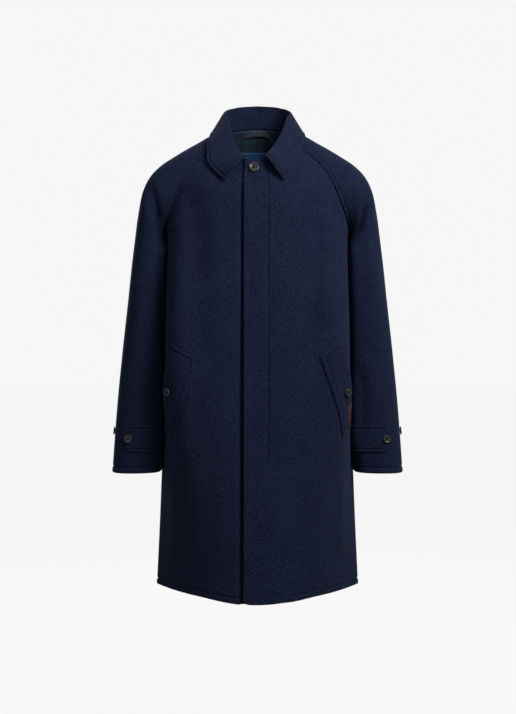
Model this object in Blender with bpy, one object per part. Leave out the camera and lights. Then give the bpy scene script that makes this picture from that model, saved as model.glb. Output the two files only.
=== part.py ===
"""Raglan overcoat with a fly front, filled out as if worn and hollow inside.

Every cut piece is a thin closed wall of its own, built from named sections in millimetres and
turned into metres when its mesh is made. +X is the wearer's left, -Y the front, +Z up. The origin
is the middle of the neck base, level with the places where the collar meets the shoulders.
"""

import math
from collections import namedtuple

import bmesh
import bpy
import numpy as np

MM = 0.001

# Cloth and seams
WALL = 2.6
TRIM_WALL = 2.2
COLLAR_WALL = 3.2
LINING_WALL = 1.2
LABEL_WALL = 0.8
SEAM_GAP = 0.3
SEAM_REACH = 1.5
SEAM_ALIKE = 0.4
LAY_GAP = 0.4
BUTTON_GAP = 0.6

# How finely the walls are divided
SKIRT_ROWS = 14
RAGLAN_ROWS = 10
RAGLAN_CROWDING = 1.35
FRONT_COLUMNS = 22
BACK_HALF_COLUMNS = 11
SLEEVE_COLUMNS = 11
SLEEVE_ROWS = 12
DENSE = 160

# How steeply a slanting row reaches its seam, for each unit that it rises
ROW_RISE = 1.35

# Body below the underarm: height, half width at the side seam, depth of front and back, how strongly
# a section leaves the centre and reaches the side seam, and the direction in which it reaches it
Body = namedtuple("Body", "z half_width front back wide deep turn")
BODY = (
    Body(-1002, 227, 181, 170, 1.10, 2.00, 61),
    Body(-880, 221, 174, 160, 1.40, 2.05, 68),
    Body(-764, 216, 167, 151, 1.85, 2.25, 77),
    Body(-590, 208, 157, 139, 2.50, 2.65, 87),
    Body(-430, 203, 149, 130, 2.80, 2.85, 90),
    Body(-320, 201, 144, 126, 2.62, 2.62, 90),
    Body(-226, 202, 139, 124, 2.30, 2.30, 90),
)
UNDERARM_Z = BODY[-1].z
HEM_Z = BODY[0].z
SIDE_SEAM_Y = 10
FRONT_HEM_DROP = 9
HEM_DROP_FADE = 150

# Centre lines above the underarm: height and depth, underarm to neck
Centre = namedtuple("Centre", "y z")
FRONT_CENTRE = (Centre(-139, -226), Centre(-136, -170), Centre(-126, -115), Centre(-113, -70))
BACK_CENTRE = (Centre(124, -226), Centre(127, -140), Centre(119, -60), Centre(105, -5), Centre(90, 33))

# Raglan seams, underarm to neck. The turns are the directions, seen from above, in which the body
# panel reaches the seam and in which the sleeve leaves it: 0 points out sideways, 90 to the far side.
# The full columns say how strongly the body's row leaves the centre and reaches the seam.
Raglan = namedtuple("Raglan", "x y z body_turn full_wide full_deep sleeve_turn sleeve_pull top_pull")
FRONT_RAGLAN = (
    Raglan(202, 10, -226, 90, 2.30, 1.365, -90, 364, 364),
    Raglan(200.5, -38, -217, 84, 2.18, 0.97, -70, 262, 330),
    Raglan(194, -66, -192, 69, 1.95, 0.76, -40, 215, 300),
    Raglan(180, -84, -157, 54, 1.58, 0.69, -18, 172, 258),
    Raglan(163, -88, -117, 50, 1.38, 0.81, -6, 135, 205),
    Raglan(146, -81, -86, 49, 1.31, 0.83, 10, 104, 152),
    Raglan(126, -71, -63, 51, 1.28, 0.84, 24, 86, 118),
    Raglan(106, -60, -45, 56, 1.26, 0.85, 38, 74, 96),
    Raglan(82, -48, -27, 62, 1.25, 0.85, 58, 64, 76),
)
BACK_RAGLAN = (
    Raglan(202, 10, -226, 90, 2.30, 1.130, -90, 368, 368),
    Raglan(200.5, 42, -216, 83, 2.10, 0.84, -72, 285, 318),
    Raglan(194, 60, -188, 68, 1.85, 0.73, -50, 255, 312),
    Raglan(178, 80, -148, 53, 1.50, 0.84, -28, 190, 265),
    Raglan(160, 96, -100, 44, 1.36, 0.83, -6, 135, 205),
    Raglan(139, 98, -58, 42, 1.31, 0.83, 10, 104, 152),
    Raglan(114, 90, -22, 45, 1.28, 0.84, 24, 86, 118),
    Raglan(92, 79, 2, 52, 1.26, 0.85, 38, 74, 96),
    Raglan(71, 63, 21, 60, 1.25, 0.85, 58, 64, 76),
)

# Shoulder line over the top of the sleeve, underarm level to neck
Top = namedtuple("Top", "x y z")
SHOULDER = (
    Top(272, 0, -226),
    Top(267, 0, -190),
    Top(260, 0, -155),
    Top(250, 0, -119),
    Top(242, -1, -101),
    Top(230, -2, -84),
    Top(212, -2, -67),
    Top(185, 0, -48),
    Top(158, 3, -30),
    Top(130, 6, -13),
    Top(106, 9, 2),
    Top(86, 11, 10),
)

# Sleeve below the underarm: height, reach of its outer line, room to the body, depth of its inner
# seam, and reach to the front and back
Sleeve = namedtuple("Sleeve", "z outer room seam_y front back")
SLEEVE = (
    Sleeve(-226, 272, 1.0, 10, 86, 97),
    Sleeve(-290, 280, 1.2, 18, 83, 97),
    Sleeve(-365, 288, 1.4, 22, 80, 94),
    Sleeve(-480, 301, 1.4, 22, 76, 87),
    Sleeve(-600, 313, 1.2, 22, 68, 77),
    Sleeve(-690, 320, 1.0, 22, 63, 70),
    Sleeve(-748, 324, 1.0, 22, 60, 66),
)
CUFF_Z = SLEEVE[-1].z

# How squarely a sleeve turns from the body to its front and back, and the share of the cap where this ends
SLEEVE_SQUARE = 0.85
SQUARE_FADE = 0.35

# How much deeper the body's section is beside its turn to the side, where along the section this
# starts and is full, and the heights and the share of the yoke where it fades
CORNER_DEPTH = 0.13
CORNER_START = 0.55
CORNER_FULL = 0.90
CORNER_LOW = -560
CORNER_FADE = 260
CORNER_YOKE = 0.45

# How closely, how widely and between which heights a sleeve lies against the turn of the body
HUG_SHARE = 0.90
HUG_WIDTH = 45
HUG_RISE = 40
HUG_LOW = -520
HUG_FADE = 130

# Fly front: the wearer's left front lies over the right one
FRONT_EDGE = -31
UNDERLAP_EDGE = 24
FLY_LIFT = 2.4
UNDERLAP_DIP = 1.8
FLY_FLAT = 46
FLY_FADE = 42
BUTTON_LINE = -7

# Largest soft folds of the body: place along the section from the centre, upper and lower ends,
# slant, half width and depth, inward where negative
Fold = namedtuple("Fold", "side arc z_top z_low slant width depth")
FRONT_FOLDS = (
    Fold(-1, 118, -110, -420, 0.10, 26, -4.0),
    Fold(-1, 70, -160, -560, -0.03, 30, 2.5),
    Fold(1, 150, -190, -460, -0.22, 24, -4.0),
    Fold(1, 95, -240, -700, -0.04, 34, 2.5),
    Fold(-1, 150, -620, -980, 0.05, 40, 3.0),
    Fold(1, 140, -600, -980, 0.04, 40, 3.0),
)
BACK_FOLDS = (
    Fold(-1, 60, -230, -960, 0.03, 38, -5.0),
    Fold(1, 48, -260, -960, 0.02, 36, -4.0),
    Fold(-1, 140, -330, -960, 0.05, 34, 4.0),
    Fold(1, 150, -300, -960, 0.05, 36, 4.5),
)
FOLD_INSET = 60
FOLD_FADE = 0.25

# Collar, front end to centre back: share of the way along the neck seam, roll line and outer edge
Collar = namedtuple("Collar", "neck roll edge")
COLLAR = (
    Collar(0.00, (22, -121, -64), (61, -130, -116.5)),
    Collar(0.06, (30, -115, -56), (76, -123, -105.5)),
    Collar(0.15, (40, -99, -43), (95, -107, -84)),
    Collar(0.29, (55, -62, -9), (106.5, -73, -48)),
    Collar(0.42, (67, -12, 39), (107, -40, -16)),
    Collar(0.54, (74, 22, 56), (103, 2, 8)),
    Collar(0.68, (69, 50, 67), (93, 54, 20)),
    Collar(0.83, (47, 76, 79), (60, 96, 24)),
    Collar(1.00, (0, 88, 85), (0, 107, 26)),
)
BELOW_NECK = 0.97
COLLAR_FRONT_ARC = 21
COLLAR_SHIFT = -6
COLLAR_SEAT = 2.3
COLLAR_FRONT_SEAT = 3.0
COLLAR_FRONT_SHARE = 0.22
COLLAR_STATIONS = 18
STAND_STEPS = 3
FALL_STEPS = 7
ROLL_RISE = 40
ROLL_RISE_MOST = 3.0
FALL_REACH = 1.15
SHIFT_START = 20
SHIFT_FADE = 90

# Pocket welts on the fronts: corners as distance along the section from the centre, and height
Corner = namedtuple("Corner", "arc z")
POCKET_TOP_FRONT = Corner(131, -494)
POCKET_TOP_BACK = Corner(184, -461)
POCKET_LOW_FRONT = Corner(186, -669)
POCKET_LOW_BACK = Corner(246, -640)
POCKET_ROWS = 9
POCKET_COLUMNS = 8
POCKET_GAP = 1.9
POCKET_GAPE = 7.0
POCKET_SEWN = 0.4
POCKET_BUTTON = (0.62, 0.53)
POCKET_BUTTON_GAP = 1.5

# Cuff straps: ends in columns from the inner seam to the outer line, and heights
STRAP_START = 2.0
STRAP_SHOULDER = 6.9
STRAP_TIP = 7.9
STRAP_END_STEP = 0.15
STRAP_TOP_Z = -643
STRAP_LOW_Z = -700
STRAP_ROWS = 4
STRAP_GAP = 1.3
STRAP_BUTTON = (6.8, -671)
SPARE_BUTTON = (10.4, -657)

# Buttons: radius and height of the rim
Button = namedtuple("Button", "radius height")
FRONT_BUTTON = Button(11.0, 4.2)
SMALL_BUTTON = Button(9.0, 3.6)
FRONT_BUTTON_Z = -89
BUTTON_SIDES = 16

# Inside the neck: lining, hanging loop and blank label, in panel rows below the neck and columns
# from the middle of the back
LINING_ROWS = 6
LINING_HALF_COLUMNS = 10
LINING_INSET = 0.05
LOOP_TOP_ROW = 0.03
LOOP_LOW_ROW = 0.36
LOOP_HALF_COLUMNS = 3.8
LOOP_STAND_OFF = 3.5
LOOP_STEPS = 10
LABEL_TOP_ROW = 1.5
LABEL_LOW_ROW = 3.0
LABEL_HALF_COLUMNS = 3.4
LABEL_ROWS = 3
LABEL_COLUMNS = 7

# Woven tab on the left pocket: width, and its place down and across the welt
TAB_ARC_WIDTH = 22
TAB_TOP_SHARE = 0.71
TAB_LOW_SHARE = 0.955
TAB_EDGE_SHARE = 0.99

# Finish: colour, roughness
Finish = namedtuple("Finish", "colour roughness")
FINISHES = {
    "tweed": Finish((0.012, 0.017, 0.040), 0.95),
    "lining": Finish((0.008, 0.020, 0.022), 0.80),
    "horn": Finish((0.035, 0.032, 0.030), 0.35),
    "loop": Finish((0.035, 0.040, 0.060), 0.80),
    "neck_label": Finish((0.010, 0.045, 0.140), 0.70),
    "tab_label": Finish((0.090, 0.020, 0.022), 0.75),
}


def clear_scene():
    for thing in list(bpy.data.objects):
        bpy.data.objects.remove(thing, do_unlink=True)


def material(name):
    made = bpy.data.materials.get(name)
    if made is None:
        finish = FINISHES[name]
        made = bpy.data.materials.new(name)
        made.use_nodes = True
        shader = made.node_tree.nodes["Principled BSDF"]
        shader.inputs["Base Color"].default_value = (*finish.colour, 1.0)
        shader.inputs["Roughness"].default_value = finish.roughness
        shader.inputs["Metallic"].default_value = 0.0
    return made


def smooth_step(value):
    share = np.clip(value, 0.0, 1.0)
    return share * share * (3 - 2 * share)


def through(knots, values, at):
    """Smooth curve through values at rising knots, read at the places asked for."""
    knots = np.asarray(knots, float)
    values = np.asarray(values, float)
    at = np.atleast_1d(np.asarray(at, float))
    slope = np.gradient(values, knots, axis=0)
    left = np.clip(np.searchsorted(knots, at, side="right") - 1, 0, len(knots) - 2)
    span = (knots[left + 1] - knots[left])[:, None]
    s = ((at - knots[left])[:, None]) / span
    return hermite(values[left], values[left + 1], slope[left] * span, slope[left + 1] * span, s)


def hermite(start, end, leave, arrive, s):
    """Cubic from start to end with the given tangents, at shares s."""
    s2, s3 = s * s, s * s * s
    return (
        (2 * s3 - 3 * s2 + 1) * start
        + (s3 - 2 * s2 + s) * leave
        + (3 * s2 - 2 * s3) * end
        + (s3 - s2) * arrive
    )


def lengths(points):
    """Distance along a row of points, from its first one."""
    steps = np.linalg.norm(np.diff(points, axis=0), axis=1)
    return np.concatenate([[0.0], np.cumsum(steps)])


def along(points, at):
    """Points at the given distances along a dense row."""
    far = lengths(points)
    return np.stack([np.interp(at, far, points[:, k]) for k in range(3)], axis=1)


def even(points, count):
    return along(points, np.linspace(0, lengths(points)[-1], count))


def table_at(table, fields, share):
    """Fields of a table of points in space, at shares of the length from its first row to its last."""
    places = np.array([(row.x, row.y, row.z) for row in table], float)
    knots = lengths(places)
    values = np.array([[getattr(row, f) for f in fields] for row in table], float)
    return through(knots / knots[-1], values, share)


def body_at(z):
    """Half width, depths, strengths and turn of the body's section at a height under the arm."""
    table = np.array(BODY, float)
    return through(table[:, 0], table[:, 1:], z)[0]


def centre_at(table, share):
    points = np.array(table, float)
    knots = lengths(np.column_stack([points, np.zeros(len(points))]))
    return through(knots / knots[-1], points, share)[0]


def section(centre, seam, turn, facing, fullness):
    """Dense row of a body panel, from the centre line to its side or raglan seam."""
    reach = np.linalg.norm(seam - centre)
    wide, deep = fullness
    leave = np.array([wide * seam[0], 0.0, 0.0])
    turn = math.radians(turn)
    arrive = np.array([math.cos(turn), -facing * math.sin(turn), 0.0]) * deep * reach
    arrive[2] = ROW_RISE * (seam[2] - centre[2])
    s = np.linspace(0, 1, DENSE)[:, None]
    return hermite(centre, seam, leave, arrive, s)


def cornered(row, strength):
    """Row of a body panel with its turn to the side made squarer."""
    reach = row[:, 0] / row[-1, 0]
    deeper = 1 + strength * smooth_step((reach - CORNER_START) / (CORNER_FULL - CORNER_START))
    return np.column_stack([row[:, 0], row[-1, 1] + (row[:, 1] - row[-1, 1]) * deeper, row[:, 2]])


def skirt_row(z, facing):
    """Dense row under the arm, centre to side seam."""
    half, front, back, wide, deep, turn = body_at(z)
    depth = -front if facing < 0 else back
    centre = np.array([0.0, depth, z])
    seam = np.array([half, SIDE_SEAM_Y, z])
    reach = np.linalg.norm(seam - centre)
    pull = deep * abs(SIDE_SEAM_Y - depth) / math.sin(math.radians(turn)) / reach
    row = section(centre, seam, turn, facing, (wide, pull))
    return cornered(row, CORNER_DEPTH * (1 - smooth_step((CORNER_LOW - z) / CORNER_FADE)))


def raglan_row(share, facing):
    """Dense row above the arm, centre to raglan seam, at a share of the way from underarm to neck."""
    seam_table, centre_table = (FRONT_RAGLAN, FRONT_CENTRE) if facing < 0 else (BACK_RAGLAN, BACK_CENTRE)
    fields = ("x", "y", "z", "body_turn", "full_wide", "full_deep")
    x, y, z, turn, wide, deep = table_at(seam_table, fields, share)[0]
    depth, height = centre_at(centre_table, share)
    row = section(np.array([0.0, depth, height]), np.array([x, y, z]), turn, facing, (wide, deep))
    return cornered(row, CORNER_DEPTH * (1 - smooth_step(share / CORNER_YOKE)))


def raglan_shares():
    """Places of the rows above the arm, closer together near the underarm."""
    return np.linspace(0, 1, RAGLAN_ROWS + 1) ** RAGLAN_CROWDING


def body_rows(facing):
    """Dense half rows of the front or back, hem to neck."""
    skirt = [skirt_row(z, facing) for z in np.linspace(HEM_Z, UNDERARM_Z, SKIRT_ROWS + 1)]
    yoke = [raglan_row(share, facing) for share in raglan_shares()[1:]]
    return skirt + yoke


def row_at(row, arcs):
    """Points of a half row at distances from the centre, mirrored where those are negative."""
    points = along(row, np.abs(arcs))
    points[:, 0] *= np.where(np.asarray(arcs) < 0, -1, 1)
    return points


def fold_push(folds, side, arcs, z):
    """How far the soft folds move the cloth out, at distances along a row and their heights."""
    push = np.zeros(len(arcs))
    for fold in folds:
        if fold.side != side:
            continue
        middle = fold.arc + fold.slant * (fold.z_top - z)
        fade = FOLD_FADE * (fold.z_top - fold.z_low)
        window = smooth_step((fold.z_top - z) / fade) * smooth_step((z - fold.z_low) / fade)
        push += fold.depth * window * np.exp(-(((arcs - middle) / fold.width) ** 2))
    return push


def grid_normals(grid):
    """Unit normals of a grid of points, columns across rows."""
    across = np.gradient(grid, axis=1)
    up = np.gradient(grid, axis=0)
    normal = np.cross(across, up)
    return normal / np.linalg.norm(normal, axis=2)[:, :, None]


def front_grid(side, edge, lift):
    """Outer points of a front, hem to neck and front edge to side; side 1 is the wearer's left."""
    rows = []
    for row in body_rows(-1):
        reach = lengths(row)[-1]
        arcs = np.linspace(edge, reach, FRONT_COLUMNS + 1)
        points = row_at(row, arcs)
        if row[0, 2] <= HEM_Z:
            points[:, 2] -= FRONT_HEM_DROP * (1 - smooth_step(arcs / HEM_DROP_FADE))
        inset = smooth_step((reach - arcs) / FOLD_INSET)
        out = lift * (1 - smooth_step((arcs - FLY_FLAT) / FLY_FADE))
        out = out + inset * fold_push(FRONT_FOLDS, side, arcs, points[:, 2])
        points[:, 1] -= out
        points[:, 0] *= side
        rows.append(points)
    return np.array(rows)


def back_grid():
    """Outer points of the back, hem to neck, from the wearer's left side to the right."""
    rows = []
    for row in body_rows(1):
        reach = lengths(row)[-1]
        arcs = np.linspace(reach, -reach, 2 * BACK_HALF_COLUMNS + 1)
        points = row_at(row, arcs)
        inset = smooth_step((reach - np.abs(arcs)) / FOLD_INSET)
        for side in (1, -1):
            here = side * arcs >= 0
            points[here, 1] += (inset * fold_push(BACK_FOLDS, side, np.abs(arcs), points[:, 2]))[here]
        rows.append(points)
    return np.array(rows)


def squared(row, strength):
    """Row of a sleeve with its inner part drawn towards the body, so that it turns more squarely."""
    start, span = row[0, 0], row[-1, 0] - row[0, 0]
    share = np.clip((row[:, 0] - start) / span, 0, None)
    return np.column_stack([start + span * share * (1 - strength * (1 - share) ** 3), row[:, 1:]])


def hugged(row, z, facing):
    """Row of a sleeve with its inner side laid against the turn of the body beside it."""
    body = skirt_row(z, facing)
    beside = np.interp(-facing * row[:, 1], -facing * body[:, 1], body[:, 0])
    near = 1 - smooth_step((row[:, 0] - row[0, 0]) / HUG_WIDTH)
    level = smooth_step((UNDERARM_Z - z) / HUG_RISE) * (1 - smooth_step((HUG_LOW - z) / HUG_FADE))
    apart = row[:, 0] - beside - (row[0, 0] - body[-1, 0])
    return np.column_stack([row[:, 0] - HUG_SHARE * level * near * apart, row[:, 1:]])


def cap_row(share, facing):
    """Dense row of a sleeve half above the arm, raglan seam to shoulder line."""
    table = FRONT_RAGLAN if facing < 0 else BACK_RAGLAN
    fields = ("x", "y", "z", "sleeve_turn", "sleeve_pull", "top_pull")
    x, y, z, turn, pull, top_pull = table_at(table, fields, share)[0]
    seam = np.array([x, y, z]) + np.array([SLEEVE[0].room * (1 - share) ** 4, 0, 0])
    top = table_at(SHOULDER, ("x", "y", "z"), share)[0]
    turn = math.radians(turn)
    rise = ROW_RISE * (top[2] - z)
    leave = np.array([math.cos(turn) * pull, -facing * math.sin(turn) * pull, rise])
    arrive = np.array([0.0, -facing * top_pull, 0.0])
    row = hermite(seam, top, leave, arrive, np.linspace(0, 1, DENSE)[:, None])
    return squared(row, SLEEVE_SQUARE * (1 - smooth_step(share / SQUARE_FADE)))


def arm_row(z, facing):
    """Dense row of a sleeve half below the arm, inner seam to outer line."""
    knots = [row.z for row in reversed(SLEEVE)]
    values = [(row.outer, row.room, row.seam_y, row.front, row.back) for row in reversed(SLEEVE)]
    outer, room, seam_y, front, back = through(knots, values, z)[0]
    inner = np.array([body_at(z)[0] + room, seam_y, z])
    top = np.array([outer, 0.0, z])
    pull = 4 * (front + seam_y / 2 if facing < 0 else back - seam_y / 2)
    leave = np.array([0.0, facing * pull, 0.0])
    row = hermite(inner, top, leave, -leave, np.linspace(0, 1, DENSE)[:, None])
    return hugged(squared(row, SLEEVE_SQUARE), z, facing)


def sleeve_grid(side, facing):
    """Outer points of a sleeve half, cuff to neck, from its inner seam to the shoulder line."""
    rows = [arm_row(z, facing) for z in np.linspace(CUFF_Z, UNDERARM_Z, SLEEVE_ROWS + 1)[:-1]]
    rows += [cap_row(share, facing) for share in raglan_shares()]
    grid = np.array([even(row, SLEEVE_COLUMNS + 1) for row in rows])
    grid[:, :, 0] *= side
    return grid


def parted(grid):
    """The grid with each edge drawn in by half the gap that seams keep."""
    made = grid.copy()
    half = SEAM_GAP / 2
    for edge, inner in ((0, 1), (-1, -2)):
        for axis in (0, 1):
            step = np.take(grid, inner, axis) - np.take(grid, edge, axis)
            step *= half / np.linalg.norm(step, axis=1)[:, None]
            if axis == 0:
                made[edge] += step
            else:
                made[:, edge] += step
    return made


def add_object(name, build, finish):
    """Links an object whose mesh build fills, closed and facing out, and shades it smooth."""
    mesh = bpy.data.meshes.new(name)
    shape = bmesh.new()
    build(shape)
    bmesh.ops.recalc_face_normals(shape, faces=shape.faces)
    shape.to_mesh(mesh)
    shape.free()
    mesh.materials.append(material(finish))
    mesh.shade_smooth()
    mesh.set_sharp_from_angle(angle=math.radians(50))
    made = bpy.data.objects.new(name, mesh)
    bpy.context.scene.collection.objects.link(made)
    return made


def add_wall(name, top, under, finish):
    """A closed wall between two grids of points."""
    rows, columns = top.shape[:2]

    def build(shape):
        upper = [[shape.verts.new(p * MM) for p in row] for row in top]
        lower = [[shape.verts.new(p * MM) for p in row] for row in under]
        for i in range(rows - 1):
            for j in range(columns - 1):
                shape.faces.new((upper[i][j], upper[i][j + 1], upper[i + 1][j + 1], upper[i + 1][j]))
                shape.faces.new((lower[i][j], lower[i + 1][j], lower[i + 1][j + 1], lower[i][j + 1]))
        for i in range(rows - 1):
            for j in (0, columns - 1):
                shape.faces.new((upper[i][j], upper[i + 1][j], lower[i + 1][j], lower[i][j]))
        for j in range(columns - 1):
            for i in (0, rows - 1):
                shape.faces.new((upper[i][j], upper[i][j + 1], lower[i][j + 1], lower[i][j]))

    return add_object(name, build, finish)


def rim(shape):
    """True at the edge points of a grid of the given rows and columns."""
    edge = np.zeros(shape, bool)
    edge[[0, -1], :] = True
    edge[:, [0, -1]] = True
    return edge


def seam_normals(panels):
    """Normals of every panel, averaged where edges of panels that face one way meet at a seam."""
    normals = [grid_normals(grid) * out_sign for grid, out_sign in panels.values()]
    edges = [rim(n.shape[:2]) for n in normals]
    places = np.concatenate([grid[edge] for (grid, _), edge in zip(panels.values(), edges)])
    own = np.concatenate([n[edge] for n, edge in zip(normals, edges)])
    near = np.linalg.norm(places[:, None] - places[None], axis=2) < SEAM_REACH
    alike = own @ own.T > SEAM_ALIKE
    shared = (near & alike).astype(float) @ own
    shared /= np.linalg.norm(shared, axis=1)[:, None]
    start = 0
    for n, edge in zip(normals, edges):
        count = int(edge.sum())
        n[edge] = shared[start:start + count]
        start += count
    return dict(zip(panels, normals))


def add_panels(panels):
    """Cloth panels: outer points parted at the seams, and a wall behind each; returns the normals."""
    normals = seam_normals(panels)
    for name, (grid, _) in panels.items():
        outer = parted(grid)
        add_wall(name, outer, outer - normals[name] * WALL, "tweed")
    return normals


def patch(grid, rows, columns):
    """Smaller grid read from a larger one at fractional row and column numbers."""
    top_row, top_column = grid.shape[0] - 1, grid.shape[1] - 1
    i = np.clip(np.floor(rows).astype(int), 0, top_row - 1)
    j = np.clip(np.floor(columns).astype(int), 0, top_column - 1)
    u, v = (rows - i)[..., None], (columns - j)[..., None]
    made = (1 - u) * ((1 - v) * grid[i, j] + v * grid[i, j + 1])
    return made + u * ((1 - v) * grid[i + 1, j] + v * grid[i + 1, j + 1])


def add_laid(name, grid, normals, rows, columns, wall, finish, clear=LAY_GAP, rise=None):
    """A piece that lies on a panel: the panel's own points, moved along its normals."""
    base = patch(grid, rows, columns)
    out = patch(normals, rows, columns)
    out /= np.linalg.norm(out, axis=2)[:, :, None]
    low = clear if rise is None else clear + rise[..., None]
    under, top = base + out * low, base + out * (low + wall)
    add_wall(name, top, under, finish)
    return top, out


def add_button(name, place, normal, size, gap=BUTTON_GAP):
    """A turned button with a raised rim and a dished face, lying on a point of the cloth."""
    radius, height = size
    profile = (
        (0.0, 0.0),
        (0.72 * radius, 0.0),
        (radius, 0.40 * height),
        (0.97 * radius, 0.80 * height),
        (0.84 * radius, height),
        (0.66 * radius, 0.72 * height),
        (0.0, 0.66 * height),
    )
    normal = normal / np.linalg.norm(normal)
    side = np.cross(normal, (0.0, 0.0, 1.0))
    side /= np.linalg.norm(side)
    up = np.cross(side, normal)
    foot = place + normal * gap

    def build(shape):
        rings = []
        for out, rise in profile:
            ring = []
            turns = BUTTON_SIDES if out else 1
            for k in range(turns):
                angle = 2 * math.pi * k / turns
                spoke = side * math.cos(angle) + up * math.sin(angle)
                ring.append(shape.verts.new((foot + spoke * out + normal * rise) * MM))
            rings.append(ring)
        for low, high in zip(rings, rings[1:]):
            for k in range(BUTTON_SIDES):
                corners = [low[k % len(low)], low[(k + 1) % len(low)]]
                corners += [high[(k + 1) % len(high)], high[k % len(high)]]
                shape.faces.new(list(dict.fromkeys(corners)))

    return add_object(name, build, "horn")


def neckline(share):
    """Dense line round the wearer's left half of the neck, centre front to centre back."""
    front, back = raglan_row(share, -1), raglan_row(share, 1)
    over = (cap_row(share, -1), cap_row(share, 1)[::-1])
    return np.concatenate([front, over[0][1:], over[1][1:], back[::-1][1:]])


def neck_seat(shares, front_arc):
    """Where the middle of the collar's wall starts on the neck edge, at shares from its front end."""
    edge = neckline(1.0)
    run = np.gradient(edge, axis=0)
    rise = edge - neckline(BELOW_NECK)
    run /= np.linalg.norm(run, axis=1)[:, None]
    rise /= np.linalg.norm(rise, axis=1)[:, None]
    out = np.cross(run, rise)
    far = lengths(edge)
    front = 1 - smooth_step(far / far[-1] / COLLAR_FRONT_SHARE)
    lift = COLLAR_SEAT + COLLAR_FRONT_SEAT * front
    seat = edge + rise * lift[:, None] - out * (WALL / 2)
    whole = lengths(seat)[-1]
    return along(seat, front_arc + shares * (whole - front_arc))


def collar_half(side):
    """Neck seam, roll line and outer edge of half the collar, front end to centre back."""
    knots = lengths(np.array([row.roll for row in COLLAR], float))
    knots = knots / knots[-1]
    values = np.array([(row.neck, *row.roll, *row.edge) for row in COLLAR], float)
    made = through(knots, values, np.linspace(0, 1, COLLAR_STATIONS + 1))
    seam = neck_seat(made[:, 0], COLLAR_FRONT_ARC + side * COLLAR_SHIFT)
    lines = np.stack([seam, made[:, 1:4], made[:, 4:7]], axis=1)
    lines[:, :, 0] *= side
    lines[:, 1:, 0] += COLLAR_SHIFT * smooth_step((-lines[:, 1:, 1] - SHIFT_START) / SHIFT_FADE)
    return lines


def collar_grid():
    """Middle surface of the collar: each station runs up the stand, over the roll and down the fall."""
    rows = []
    for seam, roll, edge in np.concatenate([collar_half(1), collar_half(-1)[-2::-1]]):
        rise = roll - seam
        rise_length = np.linalg.norm(rise)
        stand = [seam + rise * k / STAND_STEPS for k in range(STAND_STEPS)]
        upright = rise / rise_length * min(ROLL_RISE, ROLL_RISE_MOST * rise_length)
        s = np.linspace(0, 1, FALL_STEPS + 1)[:, None]
        fall = hermite(roll, edge, upright, FALL_REACH * (edge - roll), s)
        rows.append(np.array(stand + list(fall)))
    return np.array(rows)


def add_collar():
    grid = collar_grid()
    normals = grid_normals(grid) * (COLLAR_WALL / 2)
    add_wall("collar", grid + normals, grid - normals, "tweed")


def body_index(z):
    """Fractional row number of a body grid at a height under the arm."""
    return (z - HEM_Z) / (UNDERARM_Z - HEM_Z) * SKIRT_ROWS


def arm_index(z):
    """Fractional row number of a sleeve grid at a height under the arm."""
    return (z - CUFF_Z) / (UNDERARM_Z - CUFF_Z) * SLEEVE_ROWS


def whole_steps(start, end):
    """Two row or column numbers with the whole numbers between them."""
    return np.array([start, *range(math.floor(start) + 1, math.ceil(end)), end])


def add_pocket(name, grid, normals, edge):
    """Slanted welt with a free rear edge, and its button; returns its outer points and normals."""
    down, over = np.meshgrid(
        np.linspace(0, 1, POCKET_ROWS + 1), np.linspace(0, 1, POCKET_COLUMNS + 1), indexing="ij"
    )
    corners = (POCKET_TOP_FRONT, POCKET_TOP_BACK, POCKET_LOW_FRONT, POCKET_LOW_BACK)
    top_front, top_back, low_front, low_back = (np.array(c, float) for c in corners)
    place = (1 - down)[..., None] * ((1 - over)[..., None] * top_front + over[..., None] * top_back)
    place += down[..., None] * ((1 - over)[..., None] * low_front + over[..., None] * low_back)
    reach = np.array([lengths(skirt_row(z, -1))[-1] for z in place[..., 1].ravel()]).reshape(down.shape)
    columns = (place[..., 0] - edge) / (reach - edge) * FRONT_COLUMNS
    rows = body_index(place[..., 1])
    gape = POCKET_GAPE * smooth_step((over - POCKET_SEWN) / (1 - POCKET_SEWN)) * np.sin(np.pi * down) ** 2
    top, out = add_laid(name, grid, normals, rows, columns, TRIM_WALL, "tweed", POCKET_GAP, gape)
    at_over, at_down = POCKET_BUTTON
    i, j = np.array([[at_down * POCKET_ROWS]]), np.array([[at_over * POCKET_COLUMNS]])
    place, normal = patch(top, i, j)[0, 0], patch(out, i, j)[0, 0]
    add_button(name.replace("welt", "button"), place, normal, SMALL_BUTTON, POCKET_BUTTON_GAP)
    return top, out


def add_strap(name, grid, normals):
    """Pointed strap across the front of a cuff, with its button and the spare one beyond its tip."""
    high = np.linspace(-1, 1, STRAP_ROWS + 1)
    middle = (STRAP_TOP_Z + STRAP_LOW_Z) / 2
    half = (STRAP_TOP_Z - STRAP_LOW_Z) / 2
    inner = np.arange(math.ceil(STRAP_START), math.floor(STRAP_SHOULDER) + 1.0)
    last = math.floor(STRAP_TIP)
    ends = STRAP_TIP - (STRAP_TIP - STRAP_SHOULDER) * np.abs(high)
    columns = np.array([[STRAP_START, *inner, min(last, end - STRAP_END_STEP), end] for end in ends])
    rows = np.repeat(arm_index(middle + half * high)[:, None], columns.shape[1], axis=1)
    top, out = add_laid(name, grid, normals, rows, columns, TRIM_WALL, "tweed", STRAP_GAP)
    column, z = STRAP_BUTTON
    i = np.array([[(z - STRAP_LOW_Z) / (2 * half) * STRAP_ROWS]])
    j = np.array([[np.interp(column, columns[STRAP_ROWS // 2], np.arange(columns.shape[1]))]])
    label = name.replace("strap", "button")
    add_button(label, patch(top, i, j)[0, 0], patch(out, i, j)[0, 0], SMALL_BUTTON)
    column, z = SPARE_BUTTON
    i, j = np.array([[arm_index(z)]]), np.array([[column]])
    label = name.replace("strap", "spare_button")
    add_button(label, patch(grid, i, j)[0, 0], patch(normals, i, j)[0, 0], SMALL_BUTTON)


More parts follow.
